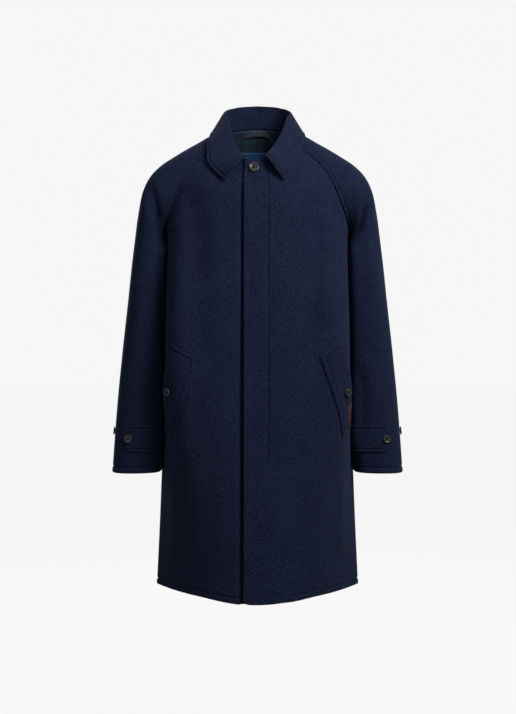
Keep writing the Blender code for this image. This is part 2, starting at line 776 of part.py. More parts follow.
def add_tab_label(top, out):
    """Plain woven tab on the free edge of the left pocket."""
    width = TAB_ARC_WIDTH / (POCKET_TOP_BACK.arc - POCKET_TOP_FRONT.arc)
    down = whole_steps(TAB_TOP_SHARE * POCKET_ROWS, TAB_LOW_SHARE * POCKET_ROWS)
    over = whole_steps((TAB_EDGE_SHARE - width) * POCKET_COLUMNS, TAB_EDGE_SHARE * POCKET_COLUMNS)
    rows, columns = np.meshgrid(down, over, indexing="ij")
    add_laid("tab_label", top, out, rows, columns, LABEL_WALL, "tab_label")


def add_inside(grid, normals):
    """Lining, hanging loop and blank label inside the back of the neck, from the back's own points."""
    inward = -normals
    middle = BACK_HALF_COLUMNS
    top_row = len(grid) - 1

    def inside(name, drops, halves, wall, finish, depth, bow=None):
        rows, columns = np.meshgrid(top_row - drops, middle + halves, indexing="ij")
        return add_laid(name, grid, inward, rows, columns, wall, finish, depth, bow)

    depth = WALL + LAY_GAP
    drops = np.arange(LINING_ROWS, -1, -1.0)
    drops[-1] = LINING_INSET
    halves = np.arange(-LINING_HALF_COLUMNS, LINING_HALF_COLUMNS + 1.0)
    inside("back_lining", drops, halves, LINING_WALL, "lining", depth)
    depth += LINING_WALL + LAY_GAP
    drops = np.linspace(LABEL_LOW_ROW, LABEL_TOP_ROW, LABEL_ROWS + 1)
    halves = np.linspace(-LABEL_HALF_COLUMNS, LABEL_HALF_COLUMNS, LABEL_COLUMNS + 1)
    inside("neck_label", drops, halves, LABEL_WALL, "neck_label", depth)
    drops = np.linspace(LOOP_LOW_ROW, LOOP_TOP_ROW, 2)
    halves = np.linspace(-LOOP_HALF_COLUMNS, LOOP_HALF_COLUMNS, LOOP_STEPS + 1)
    bow = LOOP_STAND_OFF * np.sin(np.linspace(0, np.pi, LOOP_STEPS + 1)) ** 0.5
    inside("hanging_loop", drops, halves, LABEL_WALL, "loop", depth, np.stack([bow, bow]))


def add_front_button(grid, normals):
    """The one button that shows, at the top of the fly."""
    column = min(range(grid.shape[1]), key=lambda j: abs(grid[-1, j, 0] - BUTTON_LINE))
    heights = grid[:, column, 2]
    row = np.interp(FRONT_BUTTON_Z, heights, np.arange(len(heights)))
    across = grid[int(row), :, 0]
    share = np.interp(BUTTON_LINE, across, np.arange(len(across)))
    i, j = np.array([[row]]), np.array([[share]])
    add_button("front_button", patch(grid, i, j)[0, 0], patch(normals, i, j)[0, 0], FRONT_BUTTON)


def main():
    clear_scene()
    panels = {
        "front_left": (front_grid(1, FRONT_EDGE, FLY_LIFT), 1),
        "front_right": (front_grid(-1, -UNDERLAP_EDGE, -UNDERLAP_DIP), -1),
        "back": (back_grid(), 1),
        "sleeve_front_left": (sleeve_grid(1, -1), 1),
        "sleeve_front_right": (sleeve_grid(-1, -1), -1),
        "sleeve_back_left": (sleeve_grid(1, 1), -1),
        "sleeve_back_right": (sleeve_grid(-1, 1), 1),
    }
    normals = add_panels(panels)
    grids = {name: grid for name, (grid, _) in panels.items()}
    add_collar()
    add_inside(grids["back"], normals["back"])
    add_front_button(grids["front_left"], normals["front_left"])
    for side, edge in (("left", FRONT_EDGE), ("right", -UNDERLAP_EDGE)):
        front, sleeve = f"front_{side}", f"sleeve_front_{side}"
        welt = add_pocket(f"pocket_welt_{side}", grids[front], normals[front], edge)
        add_strap(f"cuff_strap_{side}", grids[sleeve], normals[sleeve])
        if side == "left":
            add_tab_label(*welt)


main()
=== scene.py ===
"""Looks of the raglan overcoat: fine cloth shells, sewing, buttons, finishes, light and camera.

Tables are in millimetres, as in the part's source, and meshes in metres. +X is the wearer's left,
-Y the front, +Z up, and the origin is the middle of the neck base.
"""

import math
from collections import namedtuple
from functools import cache

import bpy
import numpy as np
from mathutils import Matrix, Vector


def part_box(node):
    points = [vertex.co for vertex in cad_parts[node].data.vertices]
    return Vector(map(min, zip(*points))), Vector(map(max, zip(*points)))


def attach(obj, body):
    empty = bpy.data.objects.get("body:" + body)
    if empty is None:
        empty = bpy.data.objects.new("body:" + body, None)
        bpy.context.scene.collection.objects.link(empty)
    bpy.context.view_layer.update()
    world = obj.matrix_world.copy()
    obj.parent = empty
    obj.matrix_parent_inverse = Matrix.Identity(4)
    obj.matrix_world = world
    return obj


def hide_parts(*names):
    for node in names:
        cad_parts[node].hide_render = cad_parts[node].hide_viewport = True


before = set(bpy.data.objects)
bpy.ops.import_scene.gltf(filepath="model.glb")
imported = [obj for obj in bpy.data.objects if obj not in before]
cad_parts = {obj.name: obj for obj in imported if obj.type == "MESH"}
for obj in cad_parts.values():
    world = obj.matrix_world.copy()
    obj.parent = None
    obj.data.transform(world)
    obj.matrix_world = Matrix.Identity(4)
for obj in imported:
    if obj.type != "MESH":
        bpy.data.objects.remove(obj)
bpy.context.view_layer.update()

MM = 0.001
BODY_NAME = "root"
UV_MAP = "cloth"

# Cloth and seams
WALL = 2.6
TRIM_WALL = 2.2
COLLAR_WALL = 3.2
LINING_WALL = 1.2
LABEL_WALL = 0.8
SEAM_GAP = 0.1
LAY_GAP = 0.4
STRAP_GAP = 1.3

# How finely the shells are divided: distances from an edge where points lie close together, the
# same round the fly's stitching, and how many points fill the rest
EDGE_STEPS = (0, 0.35, 0.9, 1.6, 2.5, 3.5, 4.4, 5.2, 6.0, 6.8, 7.7, 8.8, 10.2, 12, 14.5, 18)
FLY_STEPS = (22, 26, 30, 34, 38, 42, 45.5, 48, 49.8, 51, 52, 53, 54, 55, 56.2, 58, 60.5, 64)
HEM_STEPS = (0, 0.4, 1, 1.8, 2.8, 4, 5.5, 7, 8.5, 10, 11, 11.8, 12.6, 13.4, 14.2, 15.2, 16.5, 18.5, 22)
ROW_STEP = 5.0
RAGLAN_FINE_ROWS = 62
FRONT_FILL = 52
BACK_FILL = 104
SLEEVE_FILL = 44
DENSE = 200

# How steeply a slanting row reaches its seam, for each unit that it rises
ROW_RISE = 1.35

# Body below the underarm: height, half width at the side seam, depth of front and back, how strongly
# a section leaves the centre and reaches the side seam, and the direction in which it reaches it
Body = namedtuple("Body", "z half_width front back wide deep turn")
BODY = (
    Body(-1002, 227, 181, 170, 1.10, 2.00, 61),
    Body(-880, 221, 174, 160, 1.40, 2.05, 68),
    Body(-764, 216, 167, 151, 1.85, 2.25, 77),
    Body(-590, 208, 157, 139, 2.50, 2.65, 87),
    Body(-430, 203, 149, 130, 2.80, 2.85, 90),
    Body(-320, 201, 144, 126, 2.62, 2.62, 90),
    Body(-226, 202, 139, 124, 2.30, 2.30, 90),
)
UNDERARM_Z = BODY[-1].z
HEM_Z = BODY[0].z
SIDE_SEAM_Y = 10
FRONT_HEM_DROP = 9
HEM_DROP_FADE = 150
HEM_DROP_RISE = 55

# Centre lines above the underarm: height and depth, underarm to neck
Centre = namedtuple("Centre", "y z")
FRONT_CENTRE = (Centre(-139, -226), Centre(-136, -170), Centre(-126, -115), Centre(-113, -70))
BACK_CENTRE = (Centre(124, -226), Centre(127, -140), Centre(119, -60), Centre(105, -5), Centre(90, 33))

# Raglan seams, underarm to neck. The turns are the directions, seen from above, in which the body
# panel reaches the seam and in which the sleeve leaves it: 0 points out sideways, 90 to the far side.
# The full columns say how strongly the body's row leaves the centre and reaches the seam.
Raglan = namedtuple("Raglan", "x y z body_turn full_wide full_deep sleeve_turn sleeve_pull top_pull")
FRONT_RAGLAN = (
    Raglan(202, 10, -226, 90, 2.30, 1.365, -90, 364, 364),
    Raglan(200.5, -38, -217, 84, 2.18, 0.97, -70, 262, 330),
    Raglan(194, -66, -192, 69, 1.95, 0.76, -40, 215, 300),
    Raglan(180, -84, -157, 54, 1.58, 0.69, -18, 172, 258),
    Raglan(163, -88, -117, 50, 1.38, 0.81, -6, 135, 205),
    Raglan(146, -81, -86, 49, 1.31, 0.83, 10, 104, 152),
    Raglan(126, -71, -63, 51, 1.28, 0.84, 24, 86, 118),
    Raglan(106, -60, -45, 56, 1.26, 0.85, 38, 74, 96),
    Raglan(82, -48, -27, 62, 1.25, 0.85, 58, 64, 76),
)
BACK_RAGLAN = (
    Raglan(202, 10, -226, 90, 2.30, 1.130, -90, 368, 368),
    Raglan(200.5, 42, -216, 83, 2.10, 0.84, -72, 285, 318),
    Raglan(194, 60, -188, 68, 1.85, 0.73, -50, 255, 312),
    Raglan(178, 80, -148, 53, 1.50, 0.84, -28, 190, 265),
    Raglan(160, 96, -100, 44, 1.36, 0.83, -6, 135, 205),
    Raglan(139, 98, -58, 42, 1.31, 0.83, 10, 104, 152),
    Raglan(114, 90, -22, 45, 1.28, 0.84, 24, 86, 118),
    Raglan(92, 79, 2, 52, 1.26, 0.85, 38, 74, 96),
    Raglan(71, 63, 21, 60, 1.25, 0.85, 58, 64, 76),
)
RAGLAN_ROWS = 10
RAGLAN_CROWDING = 1.35

# Shoulder line over the top of the sleeve, underarm level to neck
Top = namedtuple("Top", "x y z")
SHOULDER = (
    Top(272, 0, -226),
    Top(267, 0, -190),
    Top(260, 0, -155),
    Top(250, 0, -119),
    Top(242, -1, -101),
    Top(230, -2, -84),
    Top(212, -2, -67),
    Top(185, 0, -48),
    Top(158, 3, -30),
    Top(130, 6, -13),
    Top(106, 9, 2),
    Top(86, 11, 10),
)

# Sleeve below the underarm: height, reach of its outer line, room to the body, depth of its inner
# seam, and reach to the front and back
Sleeve = namedtuple("Sleeve", "z outer room seam_y front back")
SLEEVE = (
    Sleeve(-226, 272, 1.0, 10, 86, 97),
    Sleeve(-290, 280, 1.2, 18, 83, 97),
    Sleeve(-365, 288, 1.4, 22, 80, 94),
    Sleeve(-480, 301, 1.4, 22, 76, 87),
    Sleeve(-600, 313, 1.2, 22, 68, 77),
    Sleeve(-690, 320, 1.0, 22, 63, 70),
    Sleeve(-748, 324, 1.0, 22, 60, 66),
)
CUFF_Z = SLEEVE[-1].z

# How squarely a sleeve turns from the body to its front and back, and the share of the cap where
# this ends
SLEEVE_SQUARE = 0.85
SQUARE_FADE = 0.35

# How much deeper the body's section is beside its turn to the side, where along the section this
# starts and is full, and the heights and the share of the yoke where it fades
CORNER_DEPTH = 0.13
CORNER_START = 0.55
CORNER_FULL = 0.90
CORNER_LOW = -560
CORNER_FADE = 260
CORNER_YOKE = 0.45

# How closely, how widely and between which heights a sleeve lies against the turn of the body
HUG_SHARE = 0.90
HUG_WIDTH = 45
HUG_RISE = 40
HUG_LOW = -650
HUG_FADE = 130

# Fly front: the wearer's left front lies over the right one
FRONT_EDGE = -29
UNDERLAP_EDGE = 24
FLY_LIFT = 2.4
UNDERLAP_DIP = 1.8
FLY_FLAT = 46
FLY_FADE = 42
OVERLAP_SHORTER = 2.5
EDGE_CURL = 0.6
EDGE_CURL_FADE = 34

# Fall of the under front behind the overlap's edge: heights and depths, and where along the section
# it lies
UNDER_FALL = ((HEM_Z, 12.0), (-700, 13.0), (-480, 11.0), (UNDERARM_Z, 8.0), (-140, 6.0), (-90, 0.0))
UNDER_FALL_START = 29
UNDER_FALL_FADE = 13

# Radius of the overlap's lower corner
CORNER_ROUND = 12

# Largest soft folds of the body: place along the section from the centre, upper and lower ends,
# slant, half width and depth, inward where negative
Fold = namedtuple("Fold", "side arc z_top z_low slant width depth")
FRONT_FOLDS = (
    Fold(-1, 118, -110, -420, 0.10, 26, -4.0),
    Fold(-1, 70, -160, -560, -0.03, 30, 2.5),
    Fold(1, 150, -190, -460, -0.22, 24, -4.0),
    Fold(1, 95, -240, -700, -0.04, 34, 2.5),
    Fold(-1, 150, -620, -980, 0.05, 40, 3.0),
    Fold(1, 140, -600, -980, 0.04, 40, 3.0),
)
BACK_FOLDS = (
    Fold(-1, 60, -230, -960, 0.03, 38, -5.0),
    Fold(1, 48, -260, -960, 0.02, 36, -4.0),
    Fold(-1, 140, -330, -960, 0.05, 34, 4.0),
    Fold(1, 150, -300, -960, 0.05, 36, 4.5),
)
FOLD_INSET = 60
FOLD_FADE = 0.25

# Creases, placed as seen from the front, or from the back where facing is 1: start, middle
# and end as x and height, half width and depth, inward where negative. On one side a crease can be
# sharp: 1 is the side towards +X of a line that runs down.
Crease = namedtuple("Crease", "group facing start middle end half depth sharp", defaults=(0,))
CREASES = (
    Crease("body", -1, (-150, -96), (-143, -210), (-134, -420), 25, -5.0),
    Crease("body", -1, (-98, -150), (-92, -260), (-96, -430), 20, 1.2),
    Crease("body", -1, (-20, -236), (-18, -340), (-21, -470), 9, -2.0),
    Crease("body", -1, (27, -250), (26, -360), (25, -480), 9, -1.8),
    Crease("body", -1, (-6, -400), (-12, -560), (-14, -780), 44, -5.5),
    Crease("body", -1, (176, -252), (160, -330), (140, -420), 12, -2.4),
    Crease("body", -1, (150, -500), (160, -520), (186, -528), 8, -1.2),
    Crease("body", -1, (120, -525), (145, -533), (184, -536), 7, -0.9),
    Crease("body", -1, (-180, -246), (-160, -300), (-150, -390), 12, -1.6),
    Crease("body", -1, (80, -640), (92, -780), (88, -990), 30, -2.2),
    Crease("body", -1, (-110, -600), (-104, -800), (-118, -990), 26, -2.4),
    Crease("body", -1, (-190, -700), (-186, -850), (-196, -990), 22, 2.0),
    Crease("body", -1, (186, -720), (184, -870), (192, -990), 22, 2.2),
    Crease("body", 1, (-30, -80), (-34, -200), (-26, -360), 22, -1.8),
    Crease("body", 1, (60, -120), (70, -260), (58, -470), 26, 1.6),
    Crease("body", 1, (-150, -250), (-128, -330), (-110, -470), 15, -2.4),
    Crease("body", 1, (160, -240), (132, -320), (112, -430), 14, -2.6),
    Crease("body", 1, (-96, -560), (-90, -780), (-104, -990), 26, -2.6),
    Crease("body", 1, (10, -640), (6, -820), (16, -990), 30, 2.4),
    Crease("body", 1, (120, -600), (128, -800), (120, -990), 24, -2.2),
    Crease("sleeve_left", -1, (246, -122), (226, -172), (209, -246), 12, -6.0, -1),
    Crease("sleeve_left", -1, (211, -205), (212, -330), (217, -520), 12, 2.0),
    Crease("sleeve_left", -1, (224, -500), (228, -590), (234, -720), 14, -4.0),
    Crease("sleeve_left", -1, (262, -260), (252, -330), (262, -420), 16, 2.0),
    Crease("sleeve_left", -1, (236, -470), (262, -500), (292, -512), 11, -1.8),
    Crease("sleeve_left", -1, (240, -560), (268, -588), (300, -596), 12, 1.4),
    Crease("sleeve_left", 1, (226, -420), (262, -452), (296, -462), 11, -3.0),
    Crease("sleeve_left", 1, (224, -470), (258, -498), (300, -500), 10, -2.4),
    Crease("sleeve_left", 1, (230, -540), (262, -560), (304, -556), 12, -1.8),
    Crease("sleeve_left", 1, (250, -150), (226, -190), (214, -240), 12, -5.0),
    Crease("sleeve_right", -1, (-242, -104), (-215, -172), (-206, -280), 15, -8.0, 1),
    Crease("sleeve_right", -1, (-211, -190), (-214, -400), (-226, -730), 12, -1.5),
    Crease("sleeve_right", -1, (-213, -140), (-212, -250), (-212, -430), 12, -7.0),
    Crease("sleeve_right", -1, (-262, -300), (-252, -390), (-268, -470), 17, 1.8),
    Crease("sleeve_right", -1, (-234, -500), (-258, -532), (-294, -540), 11, -1.6),
    Crease("sleeve_right", 1, (-226, -400), (-258, -436), (-292, -446), 11, -2.8),
    Crease("sleeve_right", 1, (-228, -476), (-262, -492), (-300, -490), 10, -2.6),
    Crease("sleeve_right", 1, (-232, -556), (-264, -580), (-306, -572), 12, -1.6),
    Crease("sleeve_right", 1, (-248, -146), (-224, -186), (-213, -236), 12, -5.0),
)

# How the turn across the underarm's level is softened, and how creases are found, shaped and faded
SOFT_SEAM = 22
SOFT_ROWS = 11
SOFT_ROUNDS = 60
CREASE_SAMPLES = 110
CREASE_FIND = 4
CREASE_SHARP = 0.4
CREASE_LEAD = 0.32
CREASE_TRAIL = 0.45
CREASE_SHOULDER = 0.55
CREASE_TAIL = 0.8
CREASE_SEAM_FADE = 24
CREASE_SLEEVE_FADE = 7
CREASE_ARM_FADE = 60

# Collar, front end to centre back: share of the way along the neck seam, roll line and outer edge
Collar = namedtuple("Collar", "neck roll edge")
COLLAR = (
    Collar(0.00, (22, -121, -64), (61, -130, -116.5)),
    Collar(0.06, (30, -115, -56), (76, -123, -105.5)),
    Collar(0.15, (40, -99, -43), (95, -107, -84)),
    Collar(0.29, (55, -62, -9), (106.5, -73, -48)),
    Collar(0.42, (67, -12, 39), (107, -40, -16)),
    Collar(0.54, (74, 22, 56), (103, 2, 8)),
    Collar(0.68, (69, 50, 67), (93, 54, 20)),
    Collar(0.83, (47, 76, 79), (60, 96, 24)),
    Collar(1.00, (0, 88, 85), (0, 107, 26)),
)
BELOW_NECK = 0.97
COLLAR_FRONT_ARC = 21
COLLAR_SHIFT = -6
COLLAR_SEAT = 2.3
COLLAR_FRONT_SEAT = 3.0
COLLAR_FRONT_SHARE = 0.22
COLLAR_STATIONS = 96
STAND_STEPS = 14
FALL_STEPS = 44
ROLL_RISE = 40
ROLL_RISE_MOST = 3.0
FALL_REACH = 1.15
SHIFT_START = 20
SHIFT_FADE = 90
LEAF_LIFT = 9.0
LEAF_LIFT_FADE = 46
FALL_BLEND = 4

# Pocket welts on the fronts: corners as distance along the section from the centre, and height
Corner = namedtuple("Corner", "arc z")
POCKET_CORNERS = {
    "left": (Corner(132, -492), Corner(179, -459), Corner(246, -640), Corner(193, -665)),
    "right": (Corner(130, -496), Corner(187, -463), Corner(243, -638), Corner(181, -670)),
}
POCKET_ROWS = 84
POCKET_COLUMNS = 44
POCKET_LENGTH = 180
POCKET_WIDTH = 70
POCKET_SEWN_PATH = (1, 0, 3, 2)
POCKET_GAP = 1.3
POCKET_GAPE = 7.0
POCKET_SEWN = 0.4

# Cuff straps: ends as shares of the way from the inner seam to the outer line, and heights
STRAP_START = 2.0 / 11
STRAP_SHOULDER = 6.9 / 11
STRAP_TIP = 7.9 / 11
STRAP_TOP_Z = -643
STRAP_LOW_Z = -700
STRAP_ROWS = 40
STRAP_COLUMNS = 84
STRAP_LENGTH = 130

# Woven tab on the left pocket: width, and its place down and across the welt
TAB_WIDTH_SHARE = 22 / 53
TAB_TOP_SHARE = 0.71
TAB_LOW_SHARE = 0.955
TAB_EDGE_SHARE = 0.99
TAB_ROWS = 30
TAB_COLUMNS = 16

# Inside the neck: lining, hanging loop and blank label, in rows below the neck, of ten from neck to
# underarm, and in shares of the half row from the middle of the back
LINING_ROWS = 6
LINING_GRID = (70, 90)
LINING_INSET = 0.05
LINING_RISE = 3.0
LINING_HALF = 10 / 11
LOOP_TOP_ROW = 0.03
LOOP_LOW_ROW = 0.36
LOOP_HALF = 3.8 / 11
LOOP_STAND_OFF = 5.0
LOOP_DIVE = 0.26
LOOP_GRID = (12, 60)
LABEL_TOP_ROW = 1.5
LABEL_LOW_ROW = 3.0
LABEL_HALF = 3.4 / 11
LABEL_GRID = (24, 40)

# Sewing: distances from the edges, furrow that a row of stitches pulls, and the stitches
HEM_STITCH = 13
HEM_PLAIN_ARC = 68
RAGLAN_STITCH = 6
COLLAR_STITCH = 6
POCKET_STITCH = 9
STRAP_STITCH = 6
FLY_STITCH_ARC = 22
FLY_FURROW = 1.15
FLY_FURROW_WIDE = 1.35
FLY_TURN_Z = -694
FLY_TURN_WIDE = 21
FLY_TURN_DEEP = 28
FLY_TURN_POINTS = 24
NECK_STITCHES = (5, 12, 19, 26)
NECK_STITCHES_START = 0.2
NECK_STITCHES_END = 0.8
NECK_FURROW = 0.7
FURROW_HALF = 1.8
FURROW_DEPTH = 1.9
EDGE_SWELL = 0.6
EDGE_ROUND = 2.0
EDGE_THIN = 0.8
SEAM_ROUND = 2.6
SEAM_GROOVE = 3.0
SEAM_INSIDE = 1.6
SEAM_MEET = 1.0
SEAM_BLEND = 6.0
LAP_RISE = 1.2
LAP_ROWS = 6
STITCH_FADE = 2
PUCKER = 0.22
PUCKER_WAVES = ((0.6, 2.9, 0.0), (0.5, 1.83, 1.3), (0.4, 5.1, 0.4))
PUCKER_REACH = 11
STITCH_PITCH = 3.7
STITCH_LENGTH = 2.9
STITCH_RADIUS = 0.36
STITCH_SINK = 0.5
STITCH_THIN = 0.35
STITCH_RINGS = 5
STITCH_SIDES = 6
LINE_STEP = 2.0
LINE_SMOOTHING = 3

# Facings and turned-up hems inside, where the shell stays tweed and the lining ends
FACING = 75
HEM_TURN_UP = 45

# Buttons: radius and height of the rim, holes and thread
Button = namedtuple("Button", "radius height hole spread")
FRONT_BUTTON = Button(11.0, 4.2, 1.15, 2.1)
SMALL_BUTTON = Button(9.0, 3.6, 1.0, 1.8)
BUTTON_SIDES = 48
HOLE_SIDES = 16
THREAD_RADIUS = 0.42
THREAD_FLAT = 1.5
THREAD_SIDES = 8
THREAD_STEPS = 21
THREAD_LOW = -0.2
THREAD_HIGH = 0.28
THREAD_SHOULDER = 0.8
THREAD_CROWN = 0.12
THREAD_STACK = 0.25
SHARP_ANGLE = 50

# Outline of a button from its foot over the rim to its middle, as shares of its radius and height
BUTTON_PROFILE = (
    (0, 0), (0.62, 0), (0.80, 0.08), (0.93, 0.24), (0.995, 0.44),
    (1, 0.58), (0.975, 0.76), (0.92, 0.92), (0.85, 1), (0.78, 0.96),
    (0.71, 0.82), (0.64, 0.70), (0.55, 0.66), (0.36, 0.64), (0, 0.63),
)

# Photo: size in pixels, real size of a pixel in the plane of the shoulders, place of the origin
PHOTO_WIDTH = 516
PHOTO_HEIGHT = 714
PIXEL = 2.24
ORIGIN_X = 257.5
ORIGIN_Y = 137
CAMERA_FAR = 2500
SENSOR = 36

# Stage
FLOOR_Z = -1.45
FLOOR_SIZE = 60.0
BACKDROP = 0.922
AMBIENT = 0.22
FLOOR_GREY = 0.05
FLOOR_GLOW = 0.90
WHITE = (1, 1, 1, 1)
Light = namedtuple("Light", "name place target size power")
LIGHTS = (
    Light("key", (1.02, -1.30, 0.62), (0.05, -0.1, -0.30), 0.9, 35.5),
    Light("back", (-0.9, 2.4, 0.1), (0.0, 0.0, -0.5), 1.8, 26.0),
    Light("fill", (-2.1, -2.5, -0.3), (0.0, 0.0, -0.6), 2.0, 6.5),
    Light("top", (0.0, -1.1, 1.7), (0.0, 0.0, 0.0), 1.2, 4.5),
    Light("back_top", (0.2, 1.9, 1.9), (0.0, 0.0, -0.1), 1.6, 18.0),
)

# Tweed: colours, yarns, heather, clouds, flecks, twill and nap
TWEED_DARK = (0.0022, 0.0042, 0.0143)
TWEED_LIGHT = (0.0162, 0.0230, 0.0550)
TWEED_FLECK = (0.0310, 0.0430, 0.0800)
YARN_SCALE = 620
YARN_STRETCH = 0.14
HEATHER_SCALE = 430
HEATHER_WEIGHT = 3.0
CLOUD_SCALE = 14
CLOUD_WEIGHT = 0.35
SHADE_RANGE = (2.28, 3.12)
FLECK_SCALE = 520
FLECK_RANGE = (0.64, 0.80)
FLECK_WEIGHT = 0.55
TWILL_TURN = 52
TWILL_SCALE = 185
TWILL_DISTORTION = 1.2
TWILL_WEIGHT = 0.6
TWEED_BUMP = (0.55, 0.0005)
TWEED_NAP = {
    "Roughness": 0.92, "Specular IOR Level": 0.05, "Sheen Weight": 0.07, "Sheen Roughness": 0.45,
    "Sheen Tint": (0.45, 0.55, 0.95, 1.0),
}

# Lining: colours, repeat in metres, and where along it each stripe starts
TARTAN_GREEN = (0.0090, 0.0410, 0.0580)
TARTAN_NAVY = (0.0170, 0.0260, 0.0560)
TARTAN_BLACK = (0.0055, 0.0115, 0.0230)
TARTAN_REPEAT = 0.064
TARTAN_STOPS = (
    (0.00, TARTAN_NAVY), (0.20, TARTAN_BLACK), (0.24, TARTAN_NAVY), (0.28, TARTAN_BLACK),
    (0.50, TARTAN_GREEN), (0.70, TARTAN_BLACK), (0.74, TARTAN_GREEN), (0.94, TARTAN_BLACK),
)
LINING_TURN = 45
LINING_BUMP = (0.25, 0.0002)
LINING_FINISH = {"Roughness": 0.62, "Specular IOR Level": 0.3}

# Horn, thread, tape and labels: dark and light colours, and their grain
HORN_COLOURS = ((0.010, 0.009, 0.009), (0.052, 0.049, 0.048))
HORN_STREAKS = (140, 420, 140)
HORN_RANGE = (0.36, 0.70)
HORN_GLOSS_RANGE = (1.1, -1.0)
HORN_SPECULAR = 0.5
THREAD_COLOURS = ((0.0014, 0.0021, 0.0060), (0.0042, 0.0060, 0.0140))
THREAD_SCALE = 900
THREAD_FINISH = {"Roughness": 0.85, "Specular IOR Level": 0.08}
TAPE_COLOURS = ((0.016, 0.019, 0.030), (0.048, 0.055, 0.078))
TAPE_SCALE = 420
TAPE_TURN = 90
TAPE_BUMP = (0.5, 0.0003)
TAPE_ROUGHNESS = 0.8
RIB_SCALE = 260
LABEL_COLOURS = {
    "neck_label": ((0.004, 0.036, 0.135), (0.013, 0.120, 0.340)),
    "tab_label": ((0.032, 0.0105, 0.0138), (0.078, 0.0275, 0.0345)),
}
LABEL_RIB_SCALE = 330
LABEL_RIB_DISTORTION = 0.6
LABEL_RIB_WEIGHT = 0.4
LABEL_SLUB_STRETCH = 0.3
LABEL_SLUB_SCALE = 700
LABEL_SLUB_WEIGHT = 0.6
LABEL_BUMP = (0.4, 0.0002)
LABEL_ROUGHNESS = 0.66

# Sockets of a colour mix: its share, its two colours and its result
MIX_SHARE = 0
MIX_ONE = 6
MIX_TWO = 7
MIX_RESULT = 2


def smooth_step(value):
    share = np.clip(value, 0.0, 1.0)
    return share * share * (3 - 2 * share)


def hermite(start, end, leave, arrive, s):
    """Cubic from start to end with the given tangents, at shares s."""
    s2, s3 = s * s, s * s * s
    return (
        (2 * s3 - 3 * s2 + 1) * start
        + (s3 - 2 * s2 + s) * leave
        + (3 * s2 - 2 * s3) * end
        + (s3 - s2) * arrive
    )


def through(knots, values, at):
    """Smooth curve through values at rising knots, read at the places asked for."""
    knots = np.asarray(knots, float)
    values = np.asarray(values, float)
    at = np.atleast_1d(np.asarray(at, float))
    slope = np.gradient(values, knots, axis=0)
    left = np.clip(np.searchsorted(knots, at, side="right") - 1, 0, len(knots) - 2)
    span = (knots[left + 1] - knots[left])[:, None]
    s = ((at - knots[left])[:, None]) / span
    return hermite(values[left], values[left + 1], slope[left] * span, slope[left + 1] * span, s)


def lengths(points):
    """Distance along a row of points, from its first one."""
    steps = np.linalg.norm(np.diff(points, axis=0), axis=1)
    return np.concatenate([[0.0], np.cumsum(steps)])


def along(points, at):
    """Points at the given distances along a dense row."""
    far = lengths(points)
    return np.stack([np.interp(at, far, points[:, k]) for k in range(3)], axis=1)


def table_at(table, fields, share):
    """Fields of a table of points in space, at shares of the length from its first row to its last."""
    places = np.array([(row.x, row.y, row.z) for row in table], float)
    knots = lengths(places)
    values = np.array([[getattr(row, f) for f in fields] for row in table], float)
    return through(knots / knots[-1], values, share)


def body_at(z):
    """Half width, depths, strengths and turn of the body's section at a height under the arm."""
    table = np.array(BODY, float)
    return through(table[:, 0], table[:, 1:], z)[0]


def centre_at(table, share):
    points = np.array(table, float)
    knots = lengths(np.column_stack([points, np.zeros(len(points))]))
    return through(knots / knots[-1], points, share)[0]


def section(centre, seam, turn, facing, fullness):
    """Dense row of a body panel, from the centre line to its side or raglan seam."""
    reach = np.linalg.norm(seam - centre)
    wide, deep = fullness
    leave = np.array([wide * seam[0], 0.0, 0.0])
    turn = math.radians(turn)
    arrive = np.array([math.cos(turn), -facing * math.sin(turn), 0.0]) * deep * reach
    arrive[2] = ROW_RISE * (seam[2] - centre[2])
    s = np.linspace(0, 1, DENSE)[:, None]
    return hermite(centre, seam, leave, arrive, s)


def cornered(row, strength):
    """Row of a body panel with its turn to the side made squarer."""
    reach = row[:, 0] / row[-1, 0]
    deeper = 1 + strength * smooth_step((reach - CORNER_START) / (CORNER_FULL - CORNER_START))
    return np.column_stack([row[:, 0], row[-1, 1] + (row[:, 1] - row[-1, 1]) * deeper, row[:, 2]])


def skirt_row(z, facing):
    """Dense row under the arm, centre to side seam."""
    half, front, back, wide, deep, turn = body_at(z)
    depth = -front if facing < 0 else back
    centre = np.array([0.0, depth, z])
    seam = np.array([half, SIDE_SEAM_Y, z])
    reach = np.linalg.norm(seam - centre)
    pull = deep * abs(SIDE_SEAM_Y - depth) / math.sin(math.radians(turn)) / reach
    row = section(centre, seam, turn, facing, (wide, pull))
    return cornered(row, CORNER_DEPTH * (1 - smooth_step((CORNER_LOW - z) / CORNER_FADE)))


def raglan_row(share, facing):
    """Dense row above the arm, centre to raglan seam, at a share of the way from underarm to neck."""
    seam_table, centre_table = (FRONT_RAGLAN, FRONT_CENTRE) if facing < 0 else (BACK_RAGLAN, BACK_CENTRE)
    fields = ("x", "y", "z", "body_turn", "full_wide", "full_deep")
    x, y, z, turn, wide, deep = table_at(seam_table, fields, share)[0]
    depth, height = centre_at(centre_table, share)
    row = section(np.array([0.0, depth, height]), np.array([x, y, z]), turn, facing, (wide, deep))
    return cornered(row, CORNER_DEPTH * (1 - smooth_step(share / CORNER_YOKE)))


def squared(row, strength):
    """Row of a sleeve with its inner part drawn towards the body, so that it turns more squarely."""
    start, span = row[0, 0], row[-1, 0] - row[0, 0]
    share = np.clip((row[:, 0] - start) / span, 0, None)
    return np.column_stack([start + span * share * (1 - strength * (1 - share) ** 3), row[:, 1:]])


